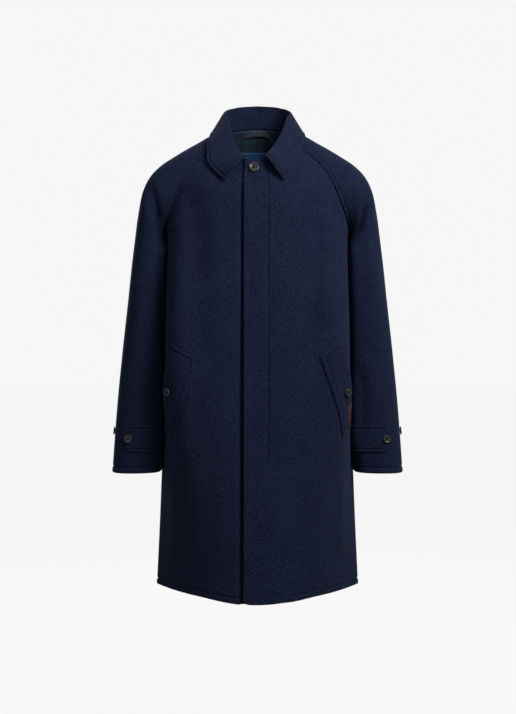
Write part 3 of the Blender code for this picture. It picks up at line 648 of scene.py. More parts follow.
def hugged(row, z, facing):
    """Row of a sleeve with its inner side laid against the turn of the body beside it."""
    body = skirt_row(z, facing)
    beside = np.interp(-facing * row[:, 1], -facing * body[:, 1], body[:, 0])
    near = 1 - smooth_step((row[:, 0] - row[0, 0]) / HUG_WIDTH)
    level = smooth_step((UNDERARM_Z - z) / HUG_RISE) * (1 - smooth_step((HUG_LOW - z) / HUG_FADE))
    apart = row[:, 0] - beside - (row[0, 0] - body[-1, 0])
    return np.column_stack([row[:, 0] - HUG_SHARE * level * near * apart, row[:, 1:]])


def cap_row(share, facing):
    """Dense row of a sleeve half above the arm, raglan seam to shoulder line."""
    table = FRONT_RAGLAN if facing < 0 else BACK_RAGLAN
    fields = ("x", "y", "z", "sleeve_turn", "sleeve_pull", "top_pull")
    x, y, z, turn, pull, top_pull = table_at(table, fields, share)[0]
    seam = np.array([x, y, z]) + np.array([SLEEVE[0].room * (1 - share) ** 4, 0, 0])
    top = table_at(SHOULDER, ("x", "y", "z"), share)[0]
    turn = math.radians(turn)
    rise = ROW_RISE * (top[2] - z)
    leave = np.array([math.cos(turn) * pull, -facing * math.sin(turn) * pull, rise])
    arrive = np.array([0.0, -facing * top_pull, 0.0])
    row = hermite(seam, top, leave, arrive, np.linspace(0, 1, DENSE)[:, None])
    return squared(row, SLEEVE_SQUARE * (1 - smooth_step(share / SQUARE_FADE)))


def arm_row(z, facing):
    """Dense row of a sleeve half below the arm, inner seam to outer line."""
    knots = [row.z for row in reversed(SLEEVE)]
    values = [(row.outer, row.room, row.seam_y, row.front, row.back) for row in reversed(SLEEVE)]
    outer, room, seam_y, front, back = through(knots, values, z)[0]
    inner = np.array([body_at(z)[0] + room, seam_y, z])
    top = np.array([outer, 0.0, z])
    pull = 4 * (front + seam_y / 2 if facing < 0 else back - seam_y / 2)
    leave = np.array([0.0, facing * pull, 0.0])
    row = hermite(inner, top, leave, -leave, np.linspace(0, 1, DENSE)[:, None])
    return hugged(squared(row, SLEEVE_SQUARE), z, facing)


def raglan_shares():
    """Places of the rows above the arm, closer together near the underarm."""
    return np.linspace(0, 1, RAGLAN_FINE_ROWS + 1) ** RAGLAN_CROWDING


def fine_heights(low):
    """Heights of the rows from a hem or cuff up to the underarm, close together at the hem."""
    start = low + np.array(HEM_STEPS, float)
    count = math.ceil((UNDERARM_Z - start[-1]) / ROW_STEP)
    return np.concatenate([start[:-1], np.linspace(start[-1], UNDERARM_Z, count + 1)])


def spread(start, end, near_steps, fill):
    """Distances along a row: close together at both ends and even between."""
    near = start + np.array(near_steps, float)
    far = end - np.array(EDGE_STEPS, float)[::-1]
    middle = np.linspace(near[-1], far[0], fill + 2)[1:-1]
    return np.concatenate([near, middle, far])


def row_at(row, arcs):
    """Points of a half row at distances from the centre, mirrored where those are negative."""
    points = along(row, np.abs(arcs))
    points[:, 0] *= np.where(arcs < 0, -1, 1)
    return points


def fold_push(folds, side, arcs, z):
    """How far the soft folds move the cloth out, at distances along a row and their heights."""
    push = np.zeros(len(arcs))
    for fold in folds:
        if fold.side != side:
            continue
        middle = fold.arc + fold.slant * (fold.z_top - z)
        fade = FOLD_FADE * (fold.z_top - fold.z_low)
        window = smooth_step((fold.z_top - z) / fade) * smooth_step((z - fold.z_low) / fade)
        push += fold.depth * window * np.exp(-(((arcs - middle) / fold.width) ** 2))
    return push


def grid_normals(grid):
    """Unit normals of a grid of points, columns across rows."""
    across = np.gradient(grid, axis=1)
    up = np.gradient(grid, axis=0)
    normal = np.cross(across, up)
    return normal / np.linalg.norm(normal, axis=2)[:, :, None]


def edge_distances(points):
    """Distances over the cloth from the first and last row, and from the first and last column."""
    up = np.linalg.norm(np.diff(points, axis=0), axis=2)
    over = np.linalg.norm(np.diff(points, axis=1), axis=2)
    low = np.concatenate([np.zeros((1, points.shape[1])), np.cumsum(up, axis=0)])
    near = np.concatenate([np.zeros((points.shape[0], 1)), np.cumsum(over, axis=1)], axis=1)
    return low, low[-1] - low, near, near[:, -1:] - near


class Cloth:
    """Outer surface of a piece as a grid of points, with normals, distances from its edges, and relief."""

    def __init__(self, points, sign, wall, arcs=None):
        self.sign = sign
        self.wall = wall
        self.arcs = arcs
        self.low, self.high, self.near, self.far = edge_distances(points)
        self.set_points(points)
        self.relief = np.zeros(points.shape[:2])
        self.thinning = np.zeros(points.shape[:2])

    def set_points(self, points):
        self.points = points
        self.normals = grid_normals(points) * self.sign

    def outer(self):
        return self.points + self.normals * self.relief[..., None]

    def inner(self):
        return self.points - self.normals * (self.wall - self.thinning)[..., None]

    def round_edge(self, distance):
        """Rounds a free edge on both faces."""
        fall = EDGE_THIN * self.wall / 2 * roundness(distance, EDGE_ROUND)
        self.relief -= fall
        self.thinning += fall

    def sink_seam(self, distance):
        """Lets the cloth fall into a seam, with its allowance inside."""
        fall = roundness(distance, SEAM_ROUND)
        self.relief -= SEAM_GROOVE * fall
        self.thinning -= SEAM_INSIDE * fall

    def area(self):
        across = np.diff(self.points, axis=1)[:-1]
        up = np.diff(self.points, axis=0)[:, :-1]
        return float(np.linalg.norm(np.cross(across, up), axis=2).sum())

    def reach(self):
        """Greatest width and length over the cloth."""
        return float(self.near[:, -1].max()), float(self.low[-1].max())


def roundness(distance, radius):
    """1 at an edge, falling to 0 along a quarter circle of the given radius."""
    share = np.clip(1 - distance / radius, 0, 1)
    return 1 - np.sqrt(1 - share**2)


def furrow(distance, at):
    """Trough that a row of stitches pulls, at distances from an edge or a line."""
    return -FURROW_DEPTH * np.exp(-(((distance - at) / FURROW_HALF) ** 2))


def sewn_edge(distance, at):
    """Furrow of a row of stitches, and the soft swelling of the cloth between it and the edge."""
    return furrow(distance, at) + EDGE_SWELL * np.sin(np.pi * np.clip(distance / at, 0, 1))


def pucker(run, distance):
    """Slight uneven waves along a sewn edge."""
    wave = sum(height * np.sin(run / length + start) for height, length, start in PUCKER_WAVES)
    return PUCKER * wave * np.exp(-((distance / PUCKER_REACH) ** 2))


def softened(points, free_start):
    """Points of a body panel with the turn across the underarm's level made softer."""
    near, far = edge_distances(points)[2:]
    keep = smooth_step(far / SOFT_SEAM)
    if not free_start:
        keep = keep * smooth_step(near / SOFT_SEAM)
    level = (len(points) - 1 - RAGLAN_FINE_ROWS) - np.arange(len(points))
    share = keep[1:-1] * (1 - smooth_step(np.abs(level[1:-1]) / SOFT_ROWS))[:, None]
    for _ in range(SOFT_ROUNDS):
        middle = (points[:-2] + points[2:]) / 2
        points[1:-1] += share[..., None] * (middle - points[1:-1])
    return points


def front_cloth(side):
    """A front, hem to neck and front edge to side; side 1 is the wearer's left, which lies on top."""
    edge, lift = (FRONT_EDGE, FLY_LIFT) if side > 0 else (-UNDERLAP_EDGE, -UNDERLAP_DIP)
    near_steps = EDGE_STEPS + FLY_STEPS
    shorter = OVERLAP_SHORTER if side > 0 else 0
    grid, all_arcs = [], []
    for row in body_rows(-1):
        reach = lengths(row)[-1]
        arcs = spread(edge, reach, near_steps, FRONT_FILL)
        points = row_at(row, arcs)
        inset = smooth_step((reach - arcs) / FOLD_INSET)
        flap = 1 - smooth_step((arcs - FLY_FLAT) / FLY_FADE)
        out = lift * flap
        if side > 0:
            out = out + EDGE_CURL * (1 - smooth_step((arcs - edge) / EDGE_CURL_FADE))
        else:
            fall = np.interp(row[0, 2], *zip(*UNDER_FALL))
            out = out - fall * (1 - smooth_step((arcs - UNDER_FALL_START) / UNDER_FALL_FADE))
        out = out + inset * fold_push(FRONT_FOLDS, side, arcs, points[:, 2])
        drop = FRONT_HEM_DROP * (1 - smooth_step(arcs / HEM_DROP_FADE))
        drop = drop - shorter * flap
        if side > 0:
            corner = np.clip(1 - (arcs - edge) / CORNER_ROUND, 0, 1)
            drop = drop - CORNER_ROUND * (1 - np.sqrt(1 - corner**2))
        points[:, 2] -= drop * np.clip(1 - (row[0, 2] - HEM_Z) / HEM_DROP_RISE, 0, 1)
        points[:, 1] -= out
        points[:, 0] *= side
        grid.append(points)
        all_arcs.append(arcs)
    return Cloth(softened(np.array(grid), True), side, WALL, np.array(all_arcs))


def body_rows(facing):
    """Dense half rows of the front or back, hem to neck."""
    skirt = [skirt_row(z, facing) for z in fine_heights(HEM_Z)]
    yoke = [raglan_row(share, facing) for share in raglan_shares()[1:]]
    return skirt + yoke


def back_cloth():
    """The back, hem to neck, from the wearer's left side to the right."""
    grid, all_arcs = [], []
    for row in body_rows(1):
        reach = lengths(row)[-1]
        arcs = -spread(-reach, reach, EDGE_STEPS, BACK_FILL)
        points = row_at(row, arcs)
        inset = smooth_step((reach - np.abs(arcs)) / FOLD_INSET)
        for side in (1, -1):
            here = side * arcs >= 0
            points[here, 1] += (inset * fold_push(BACK_FOLDS, side, np.abs(arcs), points[:, 2]))[here]
        grid.append(points)
        all_arcs.append(arcs)
    return Cloth(softened(np.array(grid), False), 1, WALL, np.array(all_arcs))


def sleeve_cloth(side, facing):
    """A sleeve half, cuff to neck, from its inner seam to the shoulder line."""
    rows = [arm_row(z, facing) for z in fine_heights(CUFF_Z)[:-1]]
    rows += [cap_row(share, facing) for share in raglan_shares()]
    grid, all_arcs = [], []
    for row in rows:
        arcs = spread(0, lengths(row)[-1], EDGE_STEPS, SLEEVE_FILL)
        grid.append(along(row, arcs))
        all_arcs.append(arcs)
    grid = np.array(grid)
    grid[:, :, 0] *= side
    return Cloth(grid, -side * facing, WALL, np.array(all_arcs))


def crease_line(crease, cloths):
    """Points of a crease on the cloth, from its place as seen from the front or the back."""
    t = np.linspace(0, 1, CREASE_SAMPLES)[:, None]
    start, middle, end = (np.array(p, float) for p in (crease.start, crease.middle, crease.end))
    bend = 2 * middle - (start + end) / 2
    line = (1 - t) ** 2 * start + 2 * t * (1 - t) * bend + t**2 * end
    shown = [c for name, c in cloths.items() if ("back" in name) == (crease.facing > 0)]
    places = np.concatenate([c.points.reshape(-1, 3) for c in shown])
    depth = []
    for x, z in line:
        apart = np.hypot(places[:, 0] - x, places[:, 2] - z)
        beside = places[apart < apart.min() + CREASE_FIND, 1]
        depth.append(crease.facing * (crease.facing * beside).max())
    return np.column_stack([line[:, 0], depth, line[:, 1]])


def crease_push(points, line, crease):
    """How far a crease moves points of the cloth out: a trough or ridge between soft shoulders."""
    flat = points.reshape(-1, 3)
    apart = ((flat**2).sum(1)[:, None] - 2 * flat @ line.T + (line**2).sum(1)[None]).clip(0)
    nearest = apart.argmin(axis=1)
    along_line = np.gradient(line, axis=0)[nearest]
    off = flat - line[nearest]
    side = np.sign(along_line[:, 0] * off[:, 2] - along_line[:, 2] * off[:, 0])
    half = np.where(side == crease.sharp, CREASE_SHARP, 1.0) * crease.half
    q2 = apart[np.arange(len(flat)), nearest] / half**2
    t = nearest / (CREASE_SAMPLES - 1)
    window = smooth_step(t / CREASE_LEAD) * smooth_step((1 - t) / CREASE_TRAIL)
    push = crease.depth * window * (1 - CREASE_SHOULDER * q2) * np.exp(-CREASE_TAIL * q2)
    return push.reshape(points.shape[:2])


def add_creases(group, cloths):
    """Works the creases of the body or of one sleeve into its panels."""
    lines = [(c, crease_line(c, cloths)) for c in CREASES if c.group == group]
    for cloth in cloths.values():
        seam = cloth.far if group == "body" else cloth.near
        under_arm = smooth_step((UNDERARM_Z - cloth.points[..., 2]) / CREASE_ARM_FADE)
        if group != "body":
            under_arm = 0.0
        fade = CREASE_SEAM_FADE if group == "body" else CREASE_SLEEVE_FADE
        keep = np.maximum(smooth_step(seam / fade), under_arm)
        keep = keep * smooth_step(cloth.high / CREASE_SEAM_FADE)
        if group == "body" and cloth.arcs[0, 0] > 0:
            keep = keep * np.maximum(smooth_step(cloth.near / CREASE_SEAM_FADE), under_arm)
        push = np.zeros(cloth.points.shape[:2])
        for crease, line in lines:
            push += crease_push(cloth.points, line, crease)
        cloth.set_points(cloth.points + cloth.normals * (push * keep)[..., None])


def part_seams(cloth):
    """Draws the side edges in by half the gap that seams keep."""
    points = cloth.points.copy()
    for edge, inner in ((0, 1), (-1, -2)):
        step = points[:, inner] - points[:, edge]
        points[:, edge] += step * (SEAM_GAP / 2 / np.linalg.norm(step, axis=1)[:, None])
    cloth.set_points(points)


def match_seams(pieces):
    """Gives edges that meet at a seam one normal, so that they sink into it together."""
    edges = []
    for cloth in pieces:
        edges += [(cloth.points[:, end].copy(), cloth.normals[:, end].copy()) for end in (0, -1)]
    for number, cloth in enumerate(pieces):
        turned = cloth.normals.copy()
        for end, distance in enumerate((cloth.near, cloth.far)):
            points, own = edges[2 * number + end]
            total = own.copy()
            for other, (spots, normals) in enumerate(edges):
                if other == 2 * number + end:
                    continue
                apart = np.linalg.norm(points[:, None] - spots[None], axis=2)
                nearest = apart.argmin(axis=1)
                alike = (own * normals[nearest]).sum(axis=1)
                meets = (apart.min(axis=1) < SEAM_MEET) * smooth_step(2 * alike)
                total += meets[:, None] * normals[nearest]
            turn = total / np.linalg.norm(total, axis=1)[:, None] - own
            turned += (1 - smooth_step(distance / SEAM_BLEND))[..., None] * turn[:, None]
        cloth.normals = turned / np.linalg.norm(turned, axis=2)[:, :, None]


def fly_path():
    """Line of the fly's stitching below its straight run, as arc and height."""
    turn = np.linspace(0, np.pi / 2, FLY_TURN_POINTS)
    arcs = FLY_STITCH_ARC - FLY_TURN_WIDE * (1 - np.cos(turn))
    return np.column_stack([arcs, FLY_TURN_Z - FLY_TURN_DEEP * np.sin(turn)])


def fly_distance(cloth):
    """Distance of the cloth's points from the fly's line of stitching."""
    arcs, z = cloth.arcs, cloth.points[..., 2]
    straight = np.where(z > FLY_TURN_Z, np.abs(arcs - FLY_STITCH_ARC), np.inf)
    path = fly_path()
    turn = np.min([np.hypot(arcs - a, z - h) for a, h in path], axis=0)
    return np.minimum(straight, turn)


def dress_front(cloth, side):
    """Edges, seams, hem and fly stitching of a front."""
    cloth.round_edge(cloth.near)
    cloth.round_edge(cloth.low)
    hemmed = smooth_step((cloth.arcs - HEM_PLAIN_ARC) / STITCH_FADE) if side > 0 else 1.0
    cloth.relief += hemmed * sewn_edge(cloth.low, HEM_STITCH)
    cloth.relief += pucker(cloth.near, cloth.low) + pucker(cloth.low, cloth.near)
    cloth.sink_seam(cloth.far)
    if side > 0:
        cloth.relief += FLY_FURROW * furrow(fly_distance(cloth) / FLY_FURROW_WIDE, 0)
        facing_end = np.where(cloth.low < HEM_STITCH, cloth.arcs - HEM_PLAIN_ARC, np.inf)
        cloth.relief += furrow(facing_end, 0)
        cloth.relief += pucker(cloth.low, fly_distance(cloth))


def dress_hem(cloth):
    cloth.round_edge(cloth.low)
    cloth.relief += sewn_edge(cloth.low, HEM_STITCH)
    cloth.relief += pucker(cloth.near, cloth.low)


def dress_back(cloth):
    dress_hem(cloth)
    cloth.sink_seam(cloth.near)
    cloth.sink_seam(cloth.far)


def dress_sleeve(cloth):
    """Cuff hem, shoulder seam, and the lapped raglan seam with its row of stitches."""
    dress_hem(cloth)
    cloth.sink_seam(cloth.far)
    raglan = lap_share(cloth)
    lap = LAP_RISE * (1 - smooth_step((cloth.near - RAGLAN_STITCH) / STITCH_FADE))
    cloth.relief += raglan * (lap + furrow(cloth.near, RAGLAN_STITCH) + pucker(cloth.low, cloth.near))
    cloth.sink_seam(cloth.near)


def lap_share(cloth):
    """1 on the rows of a sleeve that reach the raglan seam, 0 under the arm."""
    rows = np.arange(len(cloth.points)) - (len(cloth.points) - RAGLAN_FINE_ROWS)
    return smooth_step(rows / LAP_ROWS)[:, None]


def patch(grid, rows, columns):
    """Points read from a grid at fractional row and column numbers."""
    rows, columns = np.asarray(rows, float), np.asarray(columns, float)
    i = np.clip(np.floor(rows).astype(int), 0, grid.shape[0] - 2)
    j = np.clip(np.floor(columns).astype(int), 0, grid.shape[1] - 2)
    u, v = (rows - i)[..., None], (columns - j)[..., None]
    made = (1 - u) * ((1 - v) * grid[i, j] + v * grid[i, j + 1])
    return made + u * ((1 - v) * grid[i + 1, j] + v * grid[i + 1, j + 1])


def places_at(cloth, arcs, heights, low):
    """Fractional rows and columns of points under the arm, from distances along rows and heights."""
    levels = fine_heights(low)
    rows = np.interp(heights, levels, np.arange(len(levels)))
    columns = np.empty(rows.shape)
    numbers = np.arange(cloth.arcs.shape[1])
    for at in np.ndindex(rows.shape):
        i = min(int(rows[at]), len(levels) - 2)
        share = rows[at] - i
        across = (1 - share) * cloth.arcs[i] + share * cloth.arcs[i + 1]
        columns[at] = np.interp(arcs[at], across, numbers)
    return rows, columns


def laid_cloth(base, rows, columns, clear, wall, sign=1):
    """A piece that lies on another: that one's own points, moved out along its normals."""
    out = patch(base.normals, rows, columns)
    out /= np.linalg.norm(out, axis=2)[:, :, None]
    lift = np.broadcast_to(clear + wall, rows.shape)
    return Cloth(patch(base.points, rows, columns) + out * lift[..., None], sign, wall)


def outline_distance(flat, corners):
    """Distances of flat points from each side of a convex outline."""
    sides = []
    for a, b in zip(corners, np.roll(corners, -1, axis=0)):
        run = (b - a) / np.linalg.norm(b - a)
        sides.append(np.abs((flat[..., 0] - a[0]) * run[1] - (flat[..., 1] - a[1]) * run[0]))
    return np.array(sides)


def inset(corners, by):
    """Corners of an outline drawn in by a distance; the outline turns one way all round."""
    corners = np.asarray(corners, float)
    turn = np.cross(np.diff(corners[:2], axis=0)[0], np.diff(corners[1:3], axis=0)[0])
    made = []
    for k in range(len(corners)):
        before = corners[k] - corners[k - 1]
        after = corners[(k + 1) % len(corners)] - corners[k]
        before = before / np.linalg.norm(before)
        after = after / np.linalg.norm(after)
        inward = math.copysign(1, turn) * np.array([-before[1] - after[1], before[0] + after[0]])
        made.append(corners[k] + inward * by / (1 + before @ after))
    return np.array(made)


def spaced_line(corners, step):
    """Points along a line through corners, about a step apart."""
    corners = np.asarray(corners, float)
    far = np.concatenate([[0.0], np.cumsum(np.linalg.norm(np.diff(corners, axis=0), axis=1))])
    at = np.linspace(0, far[-1], max(2, math.ceil(far[-1] / step) + 1))
    return np.stack([np.interp(at, far, corners[:, k]) for k in range(corners.shape[1])], axis=1)


def mesh_object(name, points, faces, materials, uv=None, face_material=None):
    """Links a smooth object with its points in millimetres, faces, materials and cloth map."""
    mesh = bpy.data.meshes.new(name)
    mesh.from_pydata((points * MM).tolist(), [], faces)
    for made in materials:
        mesh.materials.append(made)
    if face_material is not None:
        mesh.polygons.foreach_set("material_index", face_material.astype(np.int32))
    if uv is not None:
        corner = np.zeros(len(mesh.loops), np.int32)
        mesh.loops.foreach_get("vertex_index", corner)
        layer = mesh.uv_layers.new(name=UV_MAP)
        layer.uv.foreach_set("vector", (uv * MM)[corner].astype(np.float32).ravel())
    mesh.shade_smooth()
    made = bpy.data.objects.new(name, mesh)
    bpy.context.scene.collection.objects.link(made)
    return made


def add_shell(name, cloth, materials, lined=None):
    """Closed thin shell of a cloth piece; lined says where its inner face takes the second material."""
    rows, columns = cloth.points.shape[:2]
    count = rows * columns
    index = np.arange(count).reshape(rows, columns)
    quads = np.stack([index[:-1, :-1], index[:-1, 1:], index[1:, 1:], index[1:, :-1]], axis=-1)
    quads = quads.reshape(-1, 4)
    ring = np.concatenate([index[0, :-1], index[:-1, -1], index[-1, :0:-1], index[:0:-1, 0]])
    after = np.roll(ring, -1)
    border = np.stack([after, ring, ring + count, after + count], axis=1)
    faces = np.concatenate([quads, quads[:, ::-1] + count, border])
    if cloth.sign < 0:
        faces = faces[:, ::-1]
    face_material = np.zeros(len(faces), int)
    if lined is not None:
        inside = lined[:-1, :-1] & lined[1:, 1:]
        face_material[len(quads):2 * len(quads)] = inside.ravel()
    points = np.concatenate([cloth.outer().reshape(-1, 3), cloth.inner().reshape(-1, 3)])
    uv = np.stack([cloth.near - cloth.near[:, -1:] / 2, cloth.low], axis=-1).reshape(-1, 2)
    return mesh_object(name, points, faces.tolist(), materials, np.concatenate([uv, uv]), face_material)


def line_beside(distance, at, axis):
    """Fractional rows and columns of the line that keeps a distance from an edge."""
    values = distance if axis == 1 else distance.T
    numbers = np.arange(values.shape[1], dtype=float)
    if values[0, 0] > values[0, -1]:
        values, numbers = values[:, ::-1], numbers[::-1]
    over = np.array([np.interp(at, line, numbers) for line in values])
    steps = np.arange(len(over), dtype=float)
    return (steps, over) if axis == 1 else (over, steps)


def stitch_parts(points, normals):
    """Points and faces of the stitches along a line on the cloth."""
    far = lengths(points)
    starts = np.arange(0.5 * STITCH_PITCH, far[-1] - STITCH_PITCH, STITCH_PITCH)
    t = np.linspace(0, 1, STITCH_RINGS)
    at = (starts[:, None] + t * STITCH_LENGTH).ravel()
    middle = np.stack([np.interp(at, far, points[:, k]) for k in range(3)], axis=1)
    up = np.stack([np.interp(at, far, normals[:, k]) for k in range(3)], axis=1)
    run = np.gradient(middle.reshape(len(starts), STITCH_RINGS, 3), axis=1).reshape(-1, 3)
    run /= np.linalg.norm(run, axis=1)[:, None]
    over = np.cross(run, up)
    over /= np.linalg.norm(over, axis=1)[:, None]
    bulge = np.tile(np.sin(np.pi * t), len(starts))
    radius = STITCH_RADIUS * np.clip(bulge, STITCH_THIN, 1)
    height = STITCH_SINK * (bulge - 1)
    turns = 2 * np.pi * np.arange(STITCH_SIDES) / STITCH_SIDES
    ring = (
        middle[:, None]
        + up[:, None] * (height[:, None] + radius[:, None] * np.sin(turns))[..., None]
        + over[:, None] * (radius[:, None] * np.cos(turns))[..., None]
    )
    faces = []
    for k in range(len(starts)):
        first = k * STITCH_RINGS * STITCH_SIDES
        for r in range(STITCH_RINGS - 1):
            low = first + r * STITCH_SIDES
            high = low + STITCH_SIDES
            for s in range(STITCH_SIDES):
                n = (s + 1) % STITCH_SIDES
                faces.append((low + s, high + s, high + n, low + n))
        last = first + (STITCH_RINGS - 1) * STITCH_SIDES
        faces.append(tuple(range(first, first + STITCH_SIDES)))
        faces.append(tuple(range(last + STITCH_SIDES - 1, last - 1, -1)))
    return ring.reshape(-1, 3), faces


def add_stitches(name, lines):
    """One object with the stitches of several lines, each given as points and normals."""
    points, faces, count = [], [], 0
    for line in lines:
        made, made_faces = stitch_parts(*line)
        points.append(made)
        faces += [tuple(v + count for v in face) for face in made_faces]
        count += len(made)
    made = mesh_object(name, np.concatenate(points), faces, [thread_material()])
    return rides(made, "tweed")


def cloth_line(cloth, rows, columns):
    """Points and normals of a line on the outer face of a piece."""
    return patch(cloth.outer(), rows, columns), patch(cloth.normals, rows, columns)


def rides(piece, slot, *nodes):
    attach(piece, BODY_NAME)
    if nodes:
        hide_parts(*nodes)
    return piece


def declare(cloth):
    """Works out a sheet's width, length and area over the cloth; nothing uses them."""
    width, length = (round(max(side * MM, 0.01), 4) for side in cloth.reach())
    area = min(cloth.area() * MM**2, width * length)


def neckline(share):
    """Dense line round the wearer's left half of the neck, centre front to centre back."""
    front, back = raglan_row(share, -1), raglan_row(share, 1)
    over = (cap_row(share, -1), cap_row(share, 1)[::-1])
    return np.concatenate([front, over[0][1:], over[1][1:], back[::-1][1:]])


def neck_seat(shares, front_arc):
    """Where the middle of the collar's wall starts on the neck edge, at shares from its front end."""
    edge = neckline(1.0)
    run = np.gradient(edge, axis=0)
    rise = edge - neckline(BELOW_NECK)
    run /= np.linalg.norm(run, axis=1)[:, None]
    rise /= np.linalg.norm(rise, axis=1)[:, None]
    out = np.cross(run, rise)
    far = lengths(edge)
    front = 1 - smooth_step(far / far[-1] / COLLAR_FRONT_SHARE)
    lift = COLLAR_SEAT + COLLAR_FRONT_SEAT * front
    seat = edge + rise * lift[:, None] - out * (WALL / 2)
    whole = lengths(seat)[-1]
    return along(seat, front_arc + shares * (whole - front_arc))


def collar_half(side):
    """Neck seam, roll line and outer edge of half the collar, front end to centre back."""
    far = lengths(np.array([row.roll for row in COLLAR], float))
    knots = far / far[-1]
    values = np.array([(row.neck, *row.roll, *row.edge) for row in COLLAR], float)
    places = spread(0, far[-1], EDGE_STEPS, COLLAR_STATIONS)
    made = through(knots, values, places / places[-1])
    seam = neck_seat(made[:, 0], COLLAR_FRONT_ARC + side * COLLAR_SHIFT)
    lines = np.stack([seam, made[:, 1:4], made[:, 4:7]], axis=1)
    lines[:, :, 0] *= side
    lines[:, 1:, 0] += COLLAR_SHIFT * smooth_step((-lines[:, 1:, 1] - SHIFT_START) / SHIFT_FADE)
    return lines


def collar_cloth():
    """The collar's top side: each station runs up the stand, over the roll and down the fall."""
    rows = []
    for seam, roll, edge in np.concatenate([collar_half(1), collar_half(-1)[-2::-1]]):
        rise = roll - seam
        rise_length = np.linalg.norm(rise)
        upright = rise / rise_length * min(ROLL_RISE, ROLL_RISE_MOST * rise_length)
        s = np.linspace(0, 1, DENSE)[:, None]
        fall = hermite(roll, edge, upright, FALL_REACH * (edge - roll), s)
        stand = seam + rise * np.linspace(0, 1, STAND_STEPS + 1)[:-1, None]
        far = lengths(fall)
        at = np.concatenate([
            np.linspace(0, far[-1] - EDGE_STEPS[-1], FALL_STEPS),
            far[-1] - np.array(EDGE_STEPS[-2::-1]),
        ])
        rows.append(np.concatenate([stand, along(fall, at)]))
    middle = np.array(rows)
    low, high, near, far = edge_distances(middle)
    down = np.clip((near - near[:, STAND_STEPS][:, None]) / (far[:, STAND_STEPS][:, None]), 0, 1)
    free = 1 - smooth_step(np.minimum(low, high) / LEAF_LIFT_FADE)
    middle[..., 1] -= LEAF_LIFT * free * np.sin(np.pi * down)
    return Cloth(middle + grid_normals(middle) * (COLLAR_WALL / 2), 1, COLLAR_WALL)


def add_collar():
    cloth = collar_cloth()
    fall = cloth.near[:, STAND_STEPS][:, None]
    ends = np.minimum(cloth.low, cloth.high)
    on_fall = smooth_step((cloth.near - fall) / FALL_BLEND)
    cloth.round_edge(cloth.far)
    cloth.round_edge(ends)
    nearest = np.minimum(cloth.far, np.where(on_fall > 0, ends, np.inf))
    cloth.relief += on_fall * sewn_edge(nearest, COLLAR_STITCH)
    cloth.relief += on_fall * pucker(cloth.low, cloth.far)
    for at in NECK_STITCHES:
        cloth.relief += NECK_FURROW * (1 - on_fall) * furrow(cloth.near, at)
    shell = tweed_shell("collar", cloth)
    rows, columns = line_beside(cloth.far, COLLAR_STITCH, 1)
    inside = ends[:, -1] >= COLLAR_STITCH
    lines = [cloth_line(cloth, rows[inside], columns[inside])]
    for distance in (cloth.low, cloth.high):
        rows, columns = line_beside(distance, COLLAR_STITCH, 0)
        shown = (columns > STAND_STEPS + 2) & (cloth.far[0] >= COLLAR_STITCH)
        lines.append(cloth_line(cloth, rows[shown], columns[shown]))
    for at in NECK_STITCHES:
        rows, columns = line_beside(cloth.near, at, 1)
        shown = (rows > NECK_STITCHES_START * len(rows)) & (rows < NECK_STITCHES_END * len(rows))
        lines.append(cloth_line(cloth, rows[shown], columns[shown]))
    stitches = add_stitches("collar_stitching", lines)
    declare(cloth)


def tweed_shell(name, cloth):
    """Shell of plain tweed in place of a node."""
    return rides(add_shell(f"{name}_cloth", cloth, [tweed_material()]), "tweed", name)


def dressed_panel(name, cloth, lines, lined):
    """Adds a main panel with its stitches and works out the size of its sheet."""
    shell = add_shell(f"{name}_cloth", cloth, [tweed_material(), lining_material()], lined)
    rides(shell, "tweed", name)
    stitches = add_stitches(f"{name}_stitching", lines)
    declare(cloth)


def add_front(name, cloth, side):
    rows, columns = line_beside(cloth.low, HEM_STITCH, 0)
    arcs = np.array([np.interp(r, np.arange(len(cloth.arcs)), cloth.arcs[:, int(c)])
                     for r, c in zip(rows, columns)])
    hemmed = arcs > (HEM_PLAIN_ARC if side > 0 else -UNDERLAP_EDGE + HEM_STITCH)
    lines = [cloth_line(cloth, rows[hemmed], columns[hemmed])]
    if side > 0:
        lines.append(fly_line(cloth))
    lined = (cloth.near > FACING) & (cloth.low > HEM_TURN_UP)
    dressed_panel(name, cloth, lines, lined)


def fly_line(cloth):
    """The fly's row of stitches, from the neck down and round its lower turn."""
    straight = np.arange(len(cloth.points) - 1.0, -1, -1)
    columns = np.array([
        np.interp(FLY_STITCH_ARC, arcs, np.arange(len(arcs))) for arcs in cloth.arcs[::-1]
    ])
    z = patch(cloth.points, straight, columns)[:, 2]
    above = z > FLY_TURN_Z
    path = fly_path()
    turn_rows, turn_columns = places_at(cloth, path[:, 0], path[:, 1], HEM_Z)
    rows = np.concatenate([straight[above], turn_rows])
    return cloth_line(cloth, rows, np.concatenate([columns[above], turn_columns]))


def add_back(cloth):
    lined = cloth.low > HEM_TURN_UP
    lines = [cloth_line(cloth, *line_beside(cloth.low, HEM_STITCH, 0))]
    dressed_panel("back", cloth, lines, lined)


def add_sleeve(name, cloth):
    lines = [cloth_line(cloth, *line_beside(cloth.low, HEM_STITCH, 0))]
    rows, columns = line_beside(cloth.near, RAGLAN_STITCH, 1)
    lapped = lap_share(cloth)[:, 0] > 0.5
    lines.append(cloth_line(cloth, rows[lapped], columns[lapped]))
    dressed_panel(name, cloth, lines, cloth.low > HEM_TURN_UP)


